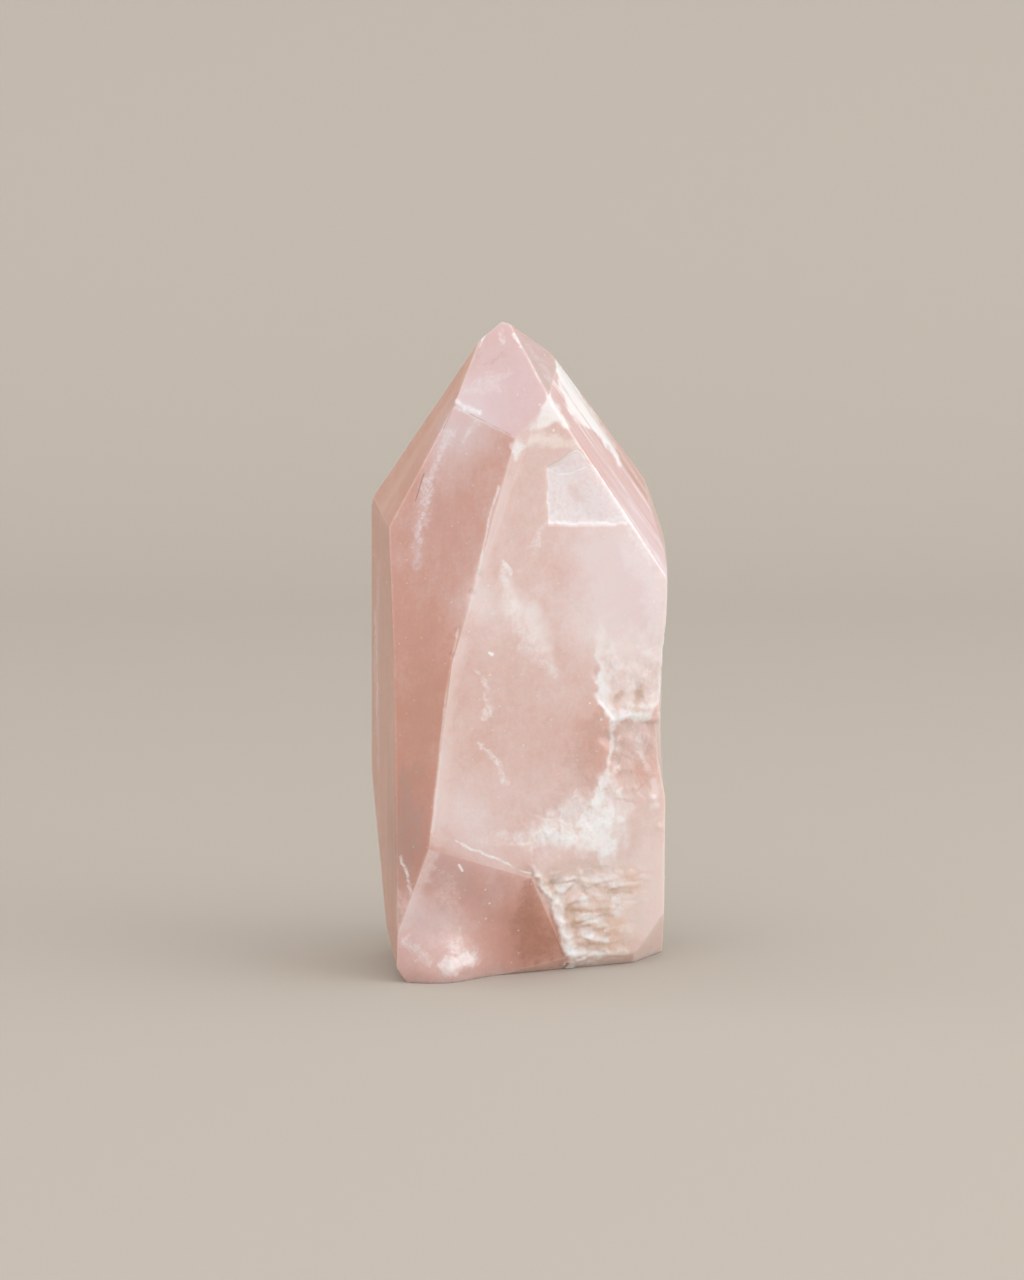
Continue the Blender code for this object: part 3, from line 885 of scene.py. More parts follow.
def stone_masks(places):
    """What the material reads at each point, apart from the skin's own masks."""
    masks = {"edge": edge_distance(places)}
    for name in PATCHES:
        masks[name], inside = patch_mask(places, name)
        if name == "crust":
            masks[name] *= along(CRUST_UP, places[:, 2])
            masks["crust_rim"] = masks[name] * ramp(inside, *CRUST_RIM)
        if name == "band":
            masks[name] *= along(BAND_DEPTH, places[:, 1])
    for name, lines in STREAKS.items():
        masks[name] = streaks(places, lines)
    masks["deeper"], masks["warmer"] = tones(places)
    return masks


def stone_mesh():
    """The fine mesh of the whole stone, in metres, with its masks as attributes."""
    stone = ground_block()
    net = Net(stone)
    for face in stone.faces:
        net.fill(face)
    stone.free()
    places = np.array(net.points)
    window = window_mask(places)
    skin = Skin(places)
    moves = skin.moves()
    sunk = WINDOW_DEPTH * window * along(WINDOW_FADE, below(places, WINDOW_RUNOUT))
    moves -= NORMALS[ORDER.index(WINDOW_FACET)] * sunk[:, None]
    final = round_edges(places) + moves
    foot = places[:, 2] < FOOT_RISE
    final[foot, 2] = places[foot, 2]
    final[:, 2] = np.maximum(final[:, 2], 0.0)
    mesh = bpy.data.meshes.new(NODE + "_visual")
    mesh.from_pydata((final * MM).tolist(), [], net.triangles)
    mesh.update()
    for name, mask in {"window": window, **skin.masks, **stone_masks(places)}.items():
        store(mesh, name, mask)
    looks = [FACETS[name][3:] if name in FACETS else FOOT_LOOK for name in net.facets]
    for name, values in (
        ("depth", [look[0] for look in looks]),
        ("warmth", [look[1] for look in looks]),
        ("striped", [STRIPED.get(name, STRIPED_ELSEWHERE) for name in net.facets]),
        ("slanted", [SLANTED.get(name, 0) for name in net.facets]),
        ("facet", [ORDER.index(name) if name in FACETS else -1 for name in net.facets]),
    ):
        store(mesh, name, values, "FACE")
    ground = mesh.attributes.new("ground_place", "FLOAT_VECTOR", "POINT")
    ground.data.foreach_set("vector", np.asarray(places, np.float32).ravel())
    mesh.shade_smooth()
    return mesh


# --- Materials ----------------------------------------------------------------------------

# The noises that break up the colour: pitch, detail and roughness. The warp bends them.
NOISES = {
    "cloud": (1.6, 7, 0.68),
    "mottle": (5, 5, 0.6),
    "fine": (0.55, 4, 0.7),
    "stripes": (1.3, 4, 0.65),
    "slants": (1.1, 5, 0.68),
}
WARP_NOISE = (3, 5)
WARP = 3.0
CLOUD_WARP = 0.8
STRIPE_SQUEEZE = (1, 1, 0.07)
SLANT_SQUEEZE = -0.94

# How much each noise, and the growth stripes, change the depth, and the stripes the warmth.
DEPTH_SWING = {"mottle": 0.7, "cloud": 0.35, "fine": 0.45}
STRIPE_DEPTH = 0.9
STRIPE_WARMTH = 1.2
TINT = 0.8
SHARD_SWING = 1.2

# Coats of colour, laid on in this order: the paint, its strength, and what it is laid on through:
# masks, and ramps of a mask or a noise (its name, where it starts and ends, and from how much to
# how much, or else from none to all).
LENS = ("lens", ("cloud", 0.25, 0.6, 0.55))
FROST = ("frost", ("cloud", 0.3, 0.58, 0.35))
TEXTURE = ("fine", 0.32, 0.62)
BODY_COATS = (
    ("deep", 1, "deepest"),
    ("peach", 1, "warm"),
    ("lilac", 1, "cool"),
    ("white", 0.55, ("slants", 0, 0.14)),
    ("rose", 0.4, ("slants", -0.02, -0.16)),
    ("milk", 0.8, *LENS),
    ("white", 0.2, *LENS),
    ("white", 0.2, *LENS, TEXTURE),
    ("white", 0.85, "triangle", ("cloud", 0.25, 0.5, 0.6)),
    ("white", 0.95, "band", ("slants", -0.14, 0, 0.45)),
)
WINDOW_COATS = (
    ("lilac", 0.8, "window", ("cloud", 0.3, 0.6, 0.6)),
    ("white", 0.6, "window", ("fine", 0.3, 0.6, 0.4)),
)
SKIN_COATS = (
    # The wall of the window, laid white: painted highlight where the light catches it.
    ("white", 0.8, ("window", 0.1, 0.4), ("window", 1, 0.75), ("cloud", 0.35, 0.6, 0.2)),
    # The broken steps.
    ("milk", 0.8, *FROST),
    ("white", 0.8, *FROST, ("flake", 0, 0.8, 0.5), TEXTURE),
    # The crust on the right edge, and the hollow below it.
    ("milk", 0.6, "crust"),
    ("cream", 0.7, "crust", ("mottle", 0.6, 0.4)),
    ("white", 0.5, "crust", ("cloud", 0.45, 0.62)),
    ("white", 0.65, "crust_rim", ("fine", 0.25, 0.5, 0.4)),
    # Painted shade under the ledge, in the hollow.
    ("shade", 1, "hollow", ("cloud", 0.42, 0.6, 0.4, 0.05)),
    # The lumpy skin above the right foot.
    ("cream", 0.5, "rubble"),
    ("white", 0.4, "rubble", ("broken", 0.5, 0.95)),
    ("ochre", 0.5, "crevice", ("cloud", 0.35, 0.6, 1, 0.2)),
    ("peach", 0.7, "blush"),
    ("white", 1, "bloom", ("fine", 0.3, 0.55, 0.5)),
    ("white", 0.7, "rim", ("cloud", 0.35, 0.55, 0.2)),
    ("ochre", 0.85, "stain", ("cloud", 0.3, 0.65, 1, 0.4)),
)
# White along every edge: partly wear, partly painted highlight for light scattered near the edges.
EDGE_COATS = (("white", 0.12, ("worn", 0.35, 0)),)

# How loosely a mark follows its line, how much its rim frays into cloud, and how it is torn.
LOOSENESS = {"tight": 0.12, "easy": 0.5, "loose": 1.5}
FRAYING = {"crisp": 0.8, "torn": 2.4, "wispy": 4.5}
TEARS = {"torn": ("fine", 0.3, 0.6, 0.5), "wispy": ("fine", 0.35, 0.62, 0.2)}

# Veils, seams, flecks and stains in the front, and some painted light and shade: painted
# highlights at the apex and along edges, painted glow along the front ridge and painted shade on
# some facets, laid on in this order. Each has a colour, its strength, its looseness and fraying,
# its line: points (x, z, half-width), and the one facet that it keeps to, if any.
MARKS = {
    # The tip.
    # Painted light: the tip's left facet is tinted peach for the warm light coming through from the
    # right.
    "tip left blush": ("peach", 0.3, "easy crisp", ((-6, 84, 1.6), (-19, 64, 2.6)), "tip left"),
    "tip cloud": ("white", 0.3, "loose wispy", ((-5.8, 81.5, 1.6), (-2.6, 82.9, 2)), "tip front"),
    "tip blush": ("rose", 0.3, "loose wispy", ((-6.4, 84.6, 0.8), (-1, 85.6, 0.8)), "tip front"),
    "apex wisps": ("white", 0.5, "easy wispy", ((-2.6, 89.1, 0.6), (-2, 87.6, 0.5))),
    # The glints are painted highlights on the edges at the apex.
    "left apex glint": ("white", 0.8, "tight torn", ((-4.6, 88.3, 0.3), (-5.2, 86.8, 0.2))),
    "tip glint": (
        "white", 0.75, "tight wispy", ((-0.7, 88.6, 0.3), (1.1, 86.2, 0.2), (3, 82.4, 0.3)),
    ),
    "tip glint head": ("white", 0.9, "tight torn", ((-0.6, 88.5, 0.4), (0.1, 87.5, 0.25))),
    "tip right shade": ("shade", 0.7, "tight crisp", ((0, 90, 9), (5, 80, 9)), "tip front right"),
    "tip right streaks": (
        "lilac", 0.4, "easy wispy", ((1, 87.5, 0.8), (4.8, 82, 1.4)), "tip front right",
    ),
    "cream band": (
        "cream", 0.9, "easy torn", ((1, 74.7, 1.2), (5, 74.6, 1.7), (8.6, 73.9, 1)), "broad front",
    ),
    "peach band": (
        "peach", 0.15, "easy wispy", ((4.4, 74.3, 0.5), (7.4, 74.3, 0.7)), "broad front",
    ),
    "ridge head": ("white", 0.85, "easy torn", ((0.2, 74, 1.1), (-0.3, 72, 0.5))),
    "tip seam lumps": (
        "white", 0.85, "easy torn", ((-8.4, 79.6, 0.5), (-7.2, 78.7, 0.7), (-5.2, 78, 0.5)),
    ),
    "tip seam": ("crack", 0.45, "tight crisp", ((-6.4, 77.9, 0.14), (-0.9, 75.3, 0.1))),
    # The right shoulder.
    "shoulder blush": ("peach", 0.25, "easy wispy", ((9.6, 75, 1), (15.5, 67, 1.4))),
    "shoulder streak": (
        "white", 0.45, "tight wispy", ((12, 75, 0.5), (17, 67.6, 0.7), (18.4, 65.2, 0.5)),
    ),
    "shoulder veil": ("white", 0.5, "easy wispy", ((15, 62.6, 0.9), (18.8, 58.2, 1.6))),
    # Painted highlight: a thin white line along the edge of the shoulder.
    "shoulder edge highlight": (
        "white", 0.8, "tight crisp",
        ((8.8, 73.1, 0.1), (13.2, 66.4, 0.14), (14.9, 63.8, 0.3), (17, 60.6, 0.14), (20, 56, 0.1)),
    ),
    # The left front.
    "left veil head": ("white", 0.5, "easy wispy", ((-5.6, 77, 0.7), (-7.4, 74.4, 0.8))),
    "left veil": (
        "lilac", 0.6, "easy wispy",
        ((-8.6, 77.5, 1.3), (-11.7, 70.3, 1.6), (-13, 63.8, 1.4), (-13.8, 57, 1.1)),
    ),
    "left veil core": (
        "white", 0.35, "easy wispy", ((-9.2, 75.5, 0.9), (-12, 69, 0.9), (-13.3, 61, 0.8)),
    ),
    "upper crack": ("crack", 0.7, "tight crisp", ((-8.6, 79.1, 0.2), (-10.1, 75.9, 0.12))),
    "lower crack": ("crack", 0.65, "tight crisp", ((-12.8, 69.7, 0.18), (-13.9, 66.1, 0.12))),
    "flank crack": ("crack", 0.4, "tight torn", ((-17.9, 38.3, 0.18), (-18, 10.2, 0.2))),
    "left foot shade": (
        "shade", 0.65, "loose wispy", ((-14.6, 29, 2.4), (-16.8, 8, 4.4)), "front left, lower",
    ),
    "flank veil": (
        "milk", 0.4, "loose wispy", ((-19.4, 56, 1.4), (-19.9, 42, 3), (-19.5, 28, 1.4)),
    ),
    "flank wisp": (
        "white", 0.45, "easy wispy", ((-20.1, 50, 0.4), (-19.6, 40, 0.8), (-20, 33, 0.5)),
    ),
    "left foot wisp": ("white", 0.7, "easy wispy", ((-15.9, 17.5, 0.4), (-14.4, 13, 0.4))),
    # The ridge and the broad front.
    # Painted light along the front ridge: the milky glows stand for light scattered near the ridge,
    # and the white ridge lights are painted highlights along it.
    "ridge glow": ("milk", 0.45, "easy torn", ((-1.5, 69, 0.9), (-4.6, 58, 1.6), (-6, 52.5, 1.4))),
    "ridge light": (
        "white", 0.6, "tight torn", ((-2.6, 68.4, 0.3), (-3.9, 63.9, 0.3), (-5.4, 56.5, 0.3)),
    ),
    "ridge lower light": (
        "white", 0.5, "tight torn", ((-8, 49.2, 0.3), (-9.7, 40.4, 0.3), (-11.6, 21.5, 0.4)),
    ),
    "ridge lower glow": (
        "milk", 0.6, "easy torn",
        ((-7.5, 47.2, 1.6), (-9.4, 40.7, 1.8), (-10.6, 28.8, 2.2), (-11, 21, 2.4)), "broad front",
    ),
    "right veil": (
        "white", 0.35, "loose torn", ((14.5, 60, 2), (18.4, 55, 3), (19.4, 49, 2.6)), "broad front",
    ),
    "under window": ("white", 0.5, "loose wispy", ((3.4, 62.4, 0.7), (2.4, 60, 1))),
    "lens rim": (
        "white", 0.45, "easy wispy",
        ((-1.7, 58, 0.5), (-1.6, 53, 1.1), (1.4, 47, 1.6), (5.2, 42.3, 1)),
    ),
    "lens head": ("white", 0.7, "tight torn", ((-2, 58.4, 0.3), (-0.9, 56.6, 0.5))),
    "fleck": ("white", 1, "tight crisp", ((-3.9, 45.8, 0.28), (-3.5, 45.6, 0.38))),
    "wisps": ("white", 0.6, "loose wispy", ((-5.5, 43, 0.6), (-3.8, 38.6, 1.1), (-4.9, 37.2, 0.8))),
    "wisp line": (
        "white", 0.7, "easy wispy", ((-5.2, 33.2, 0.6), (-3.1, 30.7, 0.6), (-1.7, 27.6, 0.6)),
    ),
    "smear": ("shade", 0.25, "loose torn", ((11.3, 37, 1.8), (9, 31, 3)), "broad front"),
    # The broken steps.
    "steps left": ("milk", 0.8, "easy wispy", ((3, 20.2, 2), (-4.9, 19.6, 1.3))),
    "steps line": ("white", 0.9, "tight torn", ((6.1, 23.6, 0.35), (6.2, 18.6, 0.4))),
    "side feathers": ("white", 0.25, "easy wispy", ((17, 33, 0.6), (18.8, 27.6, 0.6))),
    # The chip at the foot.
    "chip border": ("milk", 0.6, "easy torn", ((-11.5, 18.3, 1.6), (-15.8, 8.3, 2)), "front chip"),
    "chip bloom": ("milk", 0.4, "loose wispy", ((-10, 15, 2), (-9, 6, 4)), "front chip"),
    "chip shade": ("deep", 0.7, "easy torn", ((1.2, 12.5, 1.8), (2.6, 4, 4)), "front chip"),
    # Painted highlight: a white line along the top edge of the front chip.
    "chip edge highlight": (
        "white", 0.8, "easy torn",
        ((-8.5, 20, 0.3), (-4.9, 18, 0.3), (-1.1, 16, 0.3), (1.9, 14.6, 0.3)),
    ),
    "chip fleck": ("white", 1, "tight crisp", ((-8, 16.6, 0.28), (-7.6, 15.8, 0.3))),
    "foot lump": ("white", 0.6, "easy torn", ((-10.2, 2.2, 1.7), (-6.9, 3, 1.9))),
    "foot plume": ("milk", 0.8, "easy wispy", ((-9.6, 3.4, 1.4), (-8, 6.6, 0.7))),
    "foot wisps": ("white", 0.5, "easy wispy", ((-15.4, 6, 1), (-12.5, 3.2, 1.2))),
}
# The same behind, and in the floor of the window.
BACK_MARKS = (
    ("white", 0.45, "loose wispy", ((-16, 60, 1), (-8, 50, 2.2), (-3, 38, 1.2))),
    ("white", 0.55, "easy wispy", ((-6, 36, 0.5), (-9, 24, 0.9), (-8, 14, 0.5))),
    ("milk", 0.6, "loose torn", ((4, 58, 1.2), (12, 44, 2.4), (15, 30, 1.4))),
    ("white", 0.6, "easy torn", ((6, 70, 0.5), (13, 60, 0.8), (17, 55, 0.4))),
    ("white", 0.5, "loose wispy", ((-2, 12, 1.5), (8, 6, 2.6), (15, 3, 1.6))),
    ("crack", 0.4, "tight torn", ((-15, 33, 0.14), (-12.5, 22, 0.18), (-13, 15, 0.1))),
    ("peach", 0.4, "loose wispy", ((2, 3, 1.6), (10, 14, 2.4))),
)
WINDOW_MARKS = (
    (
        "white", 0.9, "tight torn",
        ((4.3, 70.6, 0.16), (5.4, 69.8, 0.2), (7, 69.9, 0.2), (9.8, 71, 0.14)),
    ),
    # These two are painted highlights on the lit walls at the window's foot and left.
    ("white", 0.7, "easy torn", ((10.4, 62.7, 0.5), (14.6, 63.6, 0.9))),
    ("white", 0.7, "easy torn", ((4.2, 63.4, 0.5), (5.2, 64.4, 0.7))),
    ("rose", 0.25, "loose torn", ((7, 68, 1), (9, 66.6, 1.4))),
)

# How a veil fades across its frayed rim.
VEIL_RIM = (-1.0, -0.15)

# Bright specks: their pitch, size, share and strength, and the least part of the size and the
# share of it that is fully bright.
SPECKS = ((2.3, 0.1, 0.4, 0.65), (0.9, 0.15, 0.3, 0.4))
SPECK_LEAST = 0.4
SPECK_CORE = 0.4

# The masks where the surface is rough, how much a noise changes the roughness, and how uneven
# the polished and the rough surface are.
ROUGH_MASKS = ("crust", "rubble", "step", "hollow", "back")
ROUGHNESS_SWING = 0.1
BUMP = (0.012, 0.1)
BUMP_MOTTLE = 0.12
BUMP_STRENGTH = 0.7
STONE_SHADER = {
    "IOR": 1.544,
    "Subsurface Weight": 0.6,
    "Subsurface Radius": (1, 0.5, 0.4),
    "Subsurface Scale": 0.003,
    "Transmission Weight": 0.2,
}


class Nodes:
    """Places and joins the nodes of one tree."""

    def __init__(self, tree):
        self.tree = tree
        tree.nodes.clear()

    def add(self, kind, given=(), **settings):
        """A node, with its inputs and its settings."""
        node = self.tree.nodes.new("ShaderNode" + kind)
        for name, value in settings.items():
            setattr(node, name, value)
        for socket, value in dict(given).items():
            self.give(node.inputs[socket], value)
        return node

    def give(self, socket, value):
        """Join an output to an input, or set the input's own value."""
        if isinstance(value, bpy.types.NodeSocket):
            self.tree.links.new(value, socket)
        else:
            socket.default_value = value

    def math(self, operation, *values):
        """A sum of one, two or three values."""
        return self.add("Math", enumerate(values), operation=operation).outputs[0]

    def product(self, first, *others):
        """Several values multiplied."""
        for other in others:
            first = self.math("MULTIPLY", first, other)
        return first

    def kept(self, value):
        """A value kept from 0 to 1. A node's own clamp takes more room in a long shader."""
        return self.math("MINIMUM", self.math("MAXIMUM", value, 0.0), 1.0)

    def swung(self, value, noise_value, share):
        """A value moved up and down by a share of a noise."""
        return self.math("MULTIPLY_ADD", self.math("SUBTRACT", noise_value, 0.5), share, value)

    def vector(self, operation, *values):
        """A sum of vectors."""
        node = self.add("VectorMath", enumerate(values), operation=operation)
        return node.outputs["Value" if operation in {"DOT_PRODUCT", "LENGTH"} else "Vector"]

    def scaled(self, vector, scale):
        """A vector times a number."""
        given = {"Vector": vector, "Scale": scale}
        return self.add("VectorMath", given, operation="SCALE").outputs["Vector"]

    def ramp(self, value, start, end, low=0.0, high=1.0):
        """A smooth rise between two values."""
        given = {"Value": value, "From Min": start, "From Max": end, "To Min": low, "To Max": high}
        return self.add("MapRange", given, interpolation_type="SMOOTHSTEP").outputs["Result"]

    def noise(self, vector, pitch, detail, roughness=0.5, output="Fac"):
        """Cloudy noise with features about one pitch across, in the vector's own units."""
        given = {"Vector": vector, "Scale": 1.0 / pitch, "Detail": detail, "Roughness": roughness}
        return self.add("TexNoise", given).outputs[output]

    def mix(self, factor, first, second):
        """One colour over another."""
        return self.add("Mix", {0: factor, 6: first, 7: second}, data_type="RGBA").outputs[2]

    def attribute(self, name, output="Fac"):
        """A number or a vector kept with the mesh."""
        return self.add("Attribute", attribute_name=name).outputs[output]

    def placed(self, group, **given):
        """A group with its inputs given."""
        given = {label(name): value for name, value in given.items()}
        return self.add("Group", given, node_tree=group).outputs[0]

    def finish(self, given):
        """The shader of a material, as its surface."""
        shader = self.add("BsdfPrincipled", given)
        self.add("OutputMaterial", {"Surface": shader.outputs[0]})


def label(name):
    """The label of a group's input, from its name in code."""
    return name.replace("_", " ").title()


def group_tree(name, **inputs):
    """A shader node group that puts out a mask, its nodes and what it is given."""
    tree = bpy.data.node_groups.new(name, "ShaderNodeTree")
    for given, default in inputs.items():
        kind = "NodeSocketVector" if default is None else "NodeSocketFloat"
        socket = tree.interface.new_socket(label(given), in_out="INPUT", socket_type=kind)
        if default is not None:
            socket.default_value = default
    tree.interface.new_socket("Mask", in_out="OUTPUT", socket_type="NodeSocketFloat")
    n = Nodes(tree)
    return n, n.tree.nodes.new("NodeGroupInput").outputs


def put_out(n, mask):
    """A group's tree, with its mask put out."""
    n.give(n.tree.nodes.new("NodeGroupOutput").inputs["Mask"], mask)
    return n.tree


def veil_group():
    """A streak between two points, from one half-width to another, with a frayed rim."""
    n, given = group_tree(
        "veil", place=None, fray=0.0, start=None, end=None, start_width=1.0, end_width=1.0
    )
    run = n.vector("SUBTRACT", given["End"], given["Start"])
    away = n.vector("SUBTRACT", given["Place"], given["Start"])
    length = n.vector("DOT_PRODUCT", run, run)
    share = n.kept(n.math("DIVIDE", n.vector("DOT_PRODUCT", away, run), length))
    gap = n.vector("LENGTH", n.vector("SUBTRACT", away, n.scaled(run, share)))
    spread = n.math("SUBTRACT", given["End Width"], given["Start Width"])
    width = n.math("MULTIPLY_ADD", share, spread, given["Start Width"])
    near = n.math("SUBTRACT", given["Fray"], n.math("DIVIDE", gap, width))
    return put_out(n, n.ramp(near, *VEIL_RIM))


def specks_group():
    """Sparse bright specks at random places."""
    n, given = group_tree("specks", place=None, pitch=1.0, size=0.1, share=0.3)
    scale = n.math("DIVIDE", 1.0, given["Pitch"])
    cells = n.add("TexVoronoi", {"Vector": given["Place"], "Scale": scale}, feature="F1").outputs
    pick = n.add("SeparateColor", {0: cells["Color"]}).outputs
    chosen = n.math("LESS_THAN", pick[0], given["Share"])
    size = n.math("MULTIPLY", given["Size"], n.math("ADD", SPECK_LEAST, pick[1]))
    dot = n.ramp(cells["Distance"], size, n.math("MULTIPLY", size, SPECK_CORE))
    return put_out(n, n.math("MULTIPLY", dot, chosen))


class Quartz(Nodes):
    """Rose quartz, painted coat by coat."""

    def __init__(self, tree, paints):
        super().__init__(tree)
        self.paints = paints
        place = self.attribute("ground_place", "Vector")
        warp = self.noise(place, *WARP_NOISE, output="Color")
        warp = self.scaled(self.vector("SUBTRACT", warp, (0.5, 0.5, 0.5)), WARP)
        slope = self.math("MULTIPLY", self.vector("DOT_PRODUCT", place, SLANT), SLANT_SQUEEZE)
        spaces = {
            "cloud": self.vector("ADD", place, self.scaled(warp, CLOUD_WARP)),
            "mottle": self.vector("ADD", place, warp),
            "fine": place,
            "stripes": self.vector("MULTIPLY", place, STRIPE_SQUEEZE),
            "slants": self.vector("ADD", place, self.scaled(SLANT, slope)),
        }
        self.values = {name: self.noise(spaces[name], *NOISES[name]) for name in NOISES}
        centred = self.math("SUBTRACT", self.values["cloud"], 0.5)
        self.drifts = {
            name: self.vector("ADD", place, self.scaled(warp, share))
            for name, share in LOOSENESS.items()
        }
        self.frays = {
            name: self.math("MULTIPLY", centred, share) for name, share in FRAYING.items()
        }
        self.veil = veil_group()
        self.colour = self.body()

    def value(self, factor):
        """A noise or a mask by its name, or a ramp of one."""
        if isinstance(factor, bpy.types.NodeSocket):
            return factor
        name, *stops = (factor,) if isinstance(factor, str) else factor
        if name not in self.values:
            self.values[name] = self.attribute(name)
        return self.ramp(self.values[name], *stops) if stops else self.values[name]

    def body(self):
        """The body of the stone, milky to rose, and what makes it deeper, warm or cool."""
        value, values = self.value, self.values
        depth = self.math("ADD", value("depth"), value("deeper"))
        for name, share in DEPTH_SWING.items():
            depth = self.swung(depth, values[name], share)
        stripes = self.product(self.math("SUBTRACT", values["stripes"], 0.5), value("striped"))
        depth = self.math("MULTIPLY_ADD", stripes, STRIPE_DEPTH, depth)
        warmth = self.math("ADD", value("warmth"), value("warmer"))
        warmth = self.math("MULTIPLY_ADD", stripes, STRIPE_WARMTH, warmth)
        values["deepest"] = self.kept(self.math("SUBTRACT", depth, 1.0))
        values["warm"] = self.kept(self.math("MULTIPLY", warmth, TINT))
        values["cool"] = self.kept(self.math("MULTIPLY", warmth, -TINT))
        slants = self.math("SUBTRACT", values["slants"], 0.5)
        values["slants"] = self.product(slants, value("slanted"))
        values["broken"] = self.swung(value("shard"), values["cloud"], SHARD_SWING)
        # Wear and painted edge highlight: the distance from the edges, swung by the cloud.
        values["worn"] = self.swung(value("edge"), values["cloud"], 1.0)
        milk, rose = ((*self.paints[name], 1.0) for name in ("milk", "rose"))
        return self.mix(self.kept(depth), milk, rose)

    def cover(self, paint, strength, *factors):
        """Lay a paint over the colour, through the product of its factors."""
        mask = self.product(*map(self.value, factors))
        if strength != 1:
            mask = self.math("MULTIPLY", mask, strength)
        self.colour = self.mix(mask, self.colour, (*self.paints[paint], 1.0))

    def mark(self, paint, strength, style, points, facet=None, front=True, only=()):
        """Lay a streak along a line over the colour, on one facet, if any, and in some masks."""
        loose, fraying = style.split()
        mask = None
        for start, end in zip(points, points[1:]):
            piece = self.placed(
                self.veil, place=self.drifts[loose], fray=self.frays[fraying],
                start=on_stone(*start[:2], front), end=on_stone(*end[:2], front),
                start_width=start[2], end_width=end[2],
            )
            mask = piece if mask is None else self.math("MAXIMUM", mask, piece)
        factors = [mask, TEARS[fraying]] if fraying in TEARS else [mask]
        if facet:
            factors.append(self.math("COMPARE", self.value("facet"), ORDER.index(facet), 0.5))
        self.cover(paint, strength, *factors, *only)


def quartz_material(settings):
    """Milky rose quartz: clouded pink, white veils, iron stains, painted light and shade, polish.
    """
    material = bpy.data.materials.new("rose_quartz")
    material.use_nodes = True
    n = Quartz(material.node_tree, {name: getattr(settings, name) for name in PAINTS})
    for coat in BODY_COATS:
        n.cover(*coat)
    for mark in MARKS.values():
        n.mark(*mark)
    for mark in BACK_MARKS:
        n.mark(*mark, front=False)
    for coat in WINDOW_COATS:
        n.cover(*coat)
    for mark in WINDOW_MARKS:
        n.mark(*mark, only=("window",))
    for coat in SKIN_COATS:
        n.cover(*coat)
    specks = specks_group()
    for pitch, size, share, strength in SPECKS:
        dots = n.placed(specks, place=n.drifts["tight"], pitch=pitch, size=size, share=share)
        n.cover("white", strength, dots)
    for coat in EDGE_COATS:
        n.cover(*coat)

    rough_mask, *others = (n.value(name) for name in ROUGH_MASKS)
    for other in others:
        rough_mask = n.math("MAXIMUM", rough_mask, other)
    roughness = n.ramp(rough_mask, 0.0, 1.0, settings.polish, settings.skin_roughness)
    roughness = n.swung(roughness, n.value("cloud"), ROUGHNESS_SWING)
    height = n.math("ADD", n.value("fine"), n.value("cloud"))
    height = n.math("MULTIPLY", height, n.ramp(rough_mask, 0.0, 1.0, *BUMP))
    height = n.math("MULTIPLY_ADD", n.value("mottle"), BUMP_MOTTLE, height)
    bump = n.add("Bump", {"Height": height, "Strength": BUMP_STRENGTH, "Distance": MM})
    surface = {"Base Color": n.colour, "Roughness": roughness, "Normal": bump.outputs[0]}
    n.finish({**surface, **STONE_SHADER})
    return material


def backdrop_material(colour):
    """A plain matt surface."""
    material = bpy.data.materials.new("studio_backdrop")
    material.use_nodes = True
    surface = {"Base Color": (*colour, 1.0), "Roughness": BACKDROP_ROUGHNESS}
    Nodes(material.node_tree).finish(surface)
    return material


# --- Sizes, colours and operators ---------------------------------------------------------


def paint(name, description, default):
    """A colour that a user may change."""
    return FloatVectorProperty(
        name=name, description=description, default=default, subtype="COLOR", min=0.0, max=1.0
    )


def amount(name, description, default):
    """A share that a user may change."""
    return FloatProperty(
        name=name, description=description, default=default, subtype="FACTOR", min=0.0, max=1.0
    )


PAINTS = ("milk", "rose", "deep", "lilac", "peach", "white", "cream", "shade", "ochre", "crack")


class StoneSettings(bpy.types.PropertyGroup):
    """What a user may change about the stone."""

    # Milk also lies as painted glow along the front ridge.
    milk: paint("Milky pink", "Where the quartz is clouded", (0.85, 0.745, 0.73))
    rose: paint("Rose", "Where the quartz is deepest", (0.64, 0.335, 0.26))
    # Deep rose also lies as painted shade on the right of the front chip, sunk beside its raised
    # rim.
    deep: paint("Deep rose", "The darkest quartz, in the chip at the foot", (0.45, 0.22, 0.16))
    lilac: paint("Lilac", "Thin veils that scatter the light bluish", (0.80, 0.67, 0.71))
    # Peach also lies as painted light on the tip's left facet.
    peach: paint("Peach", "Faint iron stain", (0.80, 0.56, 0.44))
    # White also serves as painted highlight: glints at the apex, lines along the ridge and the
    # shoulder's and chip's edges, the window's walls, and along every edge.
    white: paint("White", "Dense veils and broken skin", (0.955, 0.95, 0.96))
    cream: paint("Cream", "The crust of natural skin", (0.90, 0.82, 0.785))
    # Shade lies as painted shade on the tip's right facet, in the hollow under the ledge and at the
    # foot of the left front, and as a greyish smear on the broad front.
    shade: paint("Shade", "Greyish, cloudy quartz", (0.50, 0.36, 0.31))
    ochre: paint("Ochre", "Strong iron stain in the natural skin", (0.60, 0.41, 0.28))
    crack: paint("Crack", "Thin dark cracks", (0.33, 0.15, 0.12))
    polish: amount("Polish", "Roughness of the ground facets", 0.3)
    skin_roughness: amount("Skin roughness", "Roughness of the natural skin", 0.5)


class StudioSettings(bpy.types.PropertyGroup):
    """What a user may change about the studio."""

    backdrop: paint("Backdrop", "The floor and the sweep behind it", (0.453, 0.409, 0.36))
    key: FloatProperty(
        name="Key light", description="Power of the large light on the right",
        min=0.0, default=1.31, unit="POWER",
    )
    fill: FloatProperty(
        name="Fill light", description="Strength of the even light all round", min=0.0, default=1.32
    )


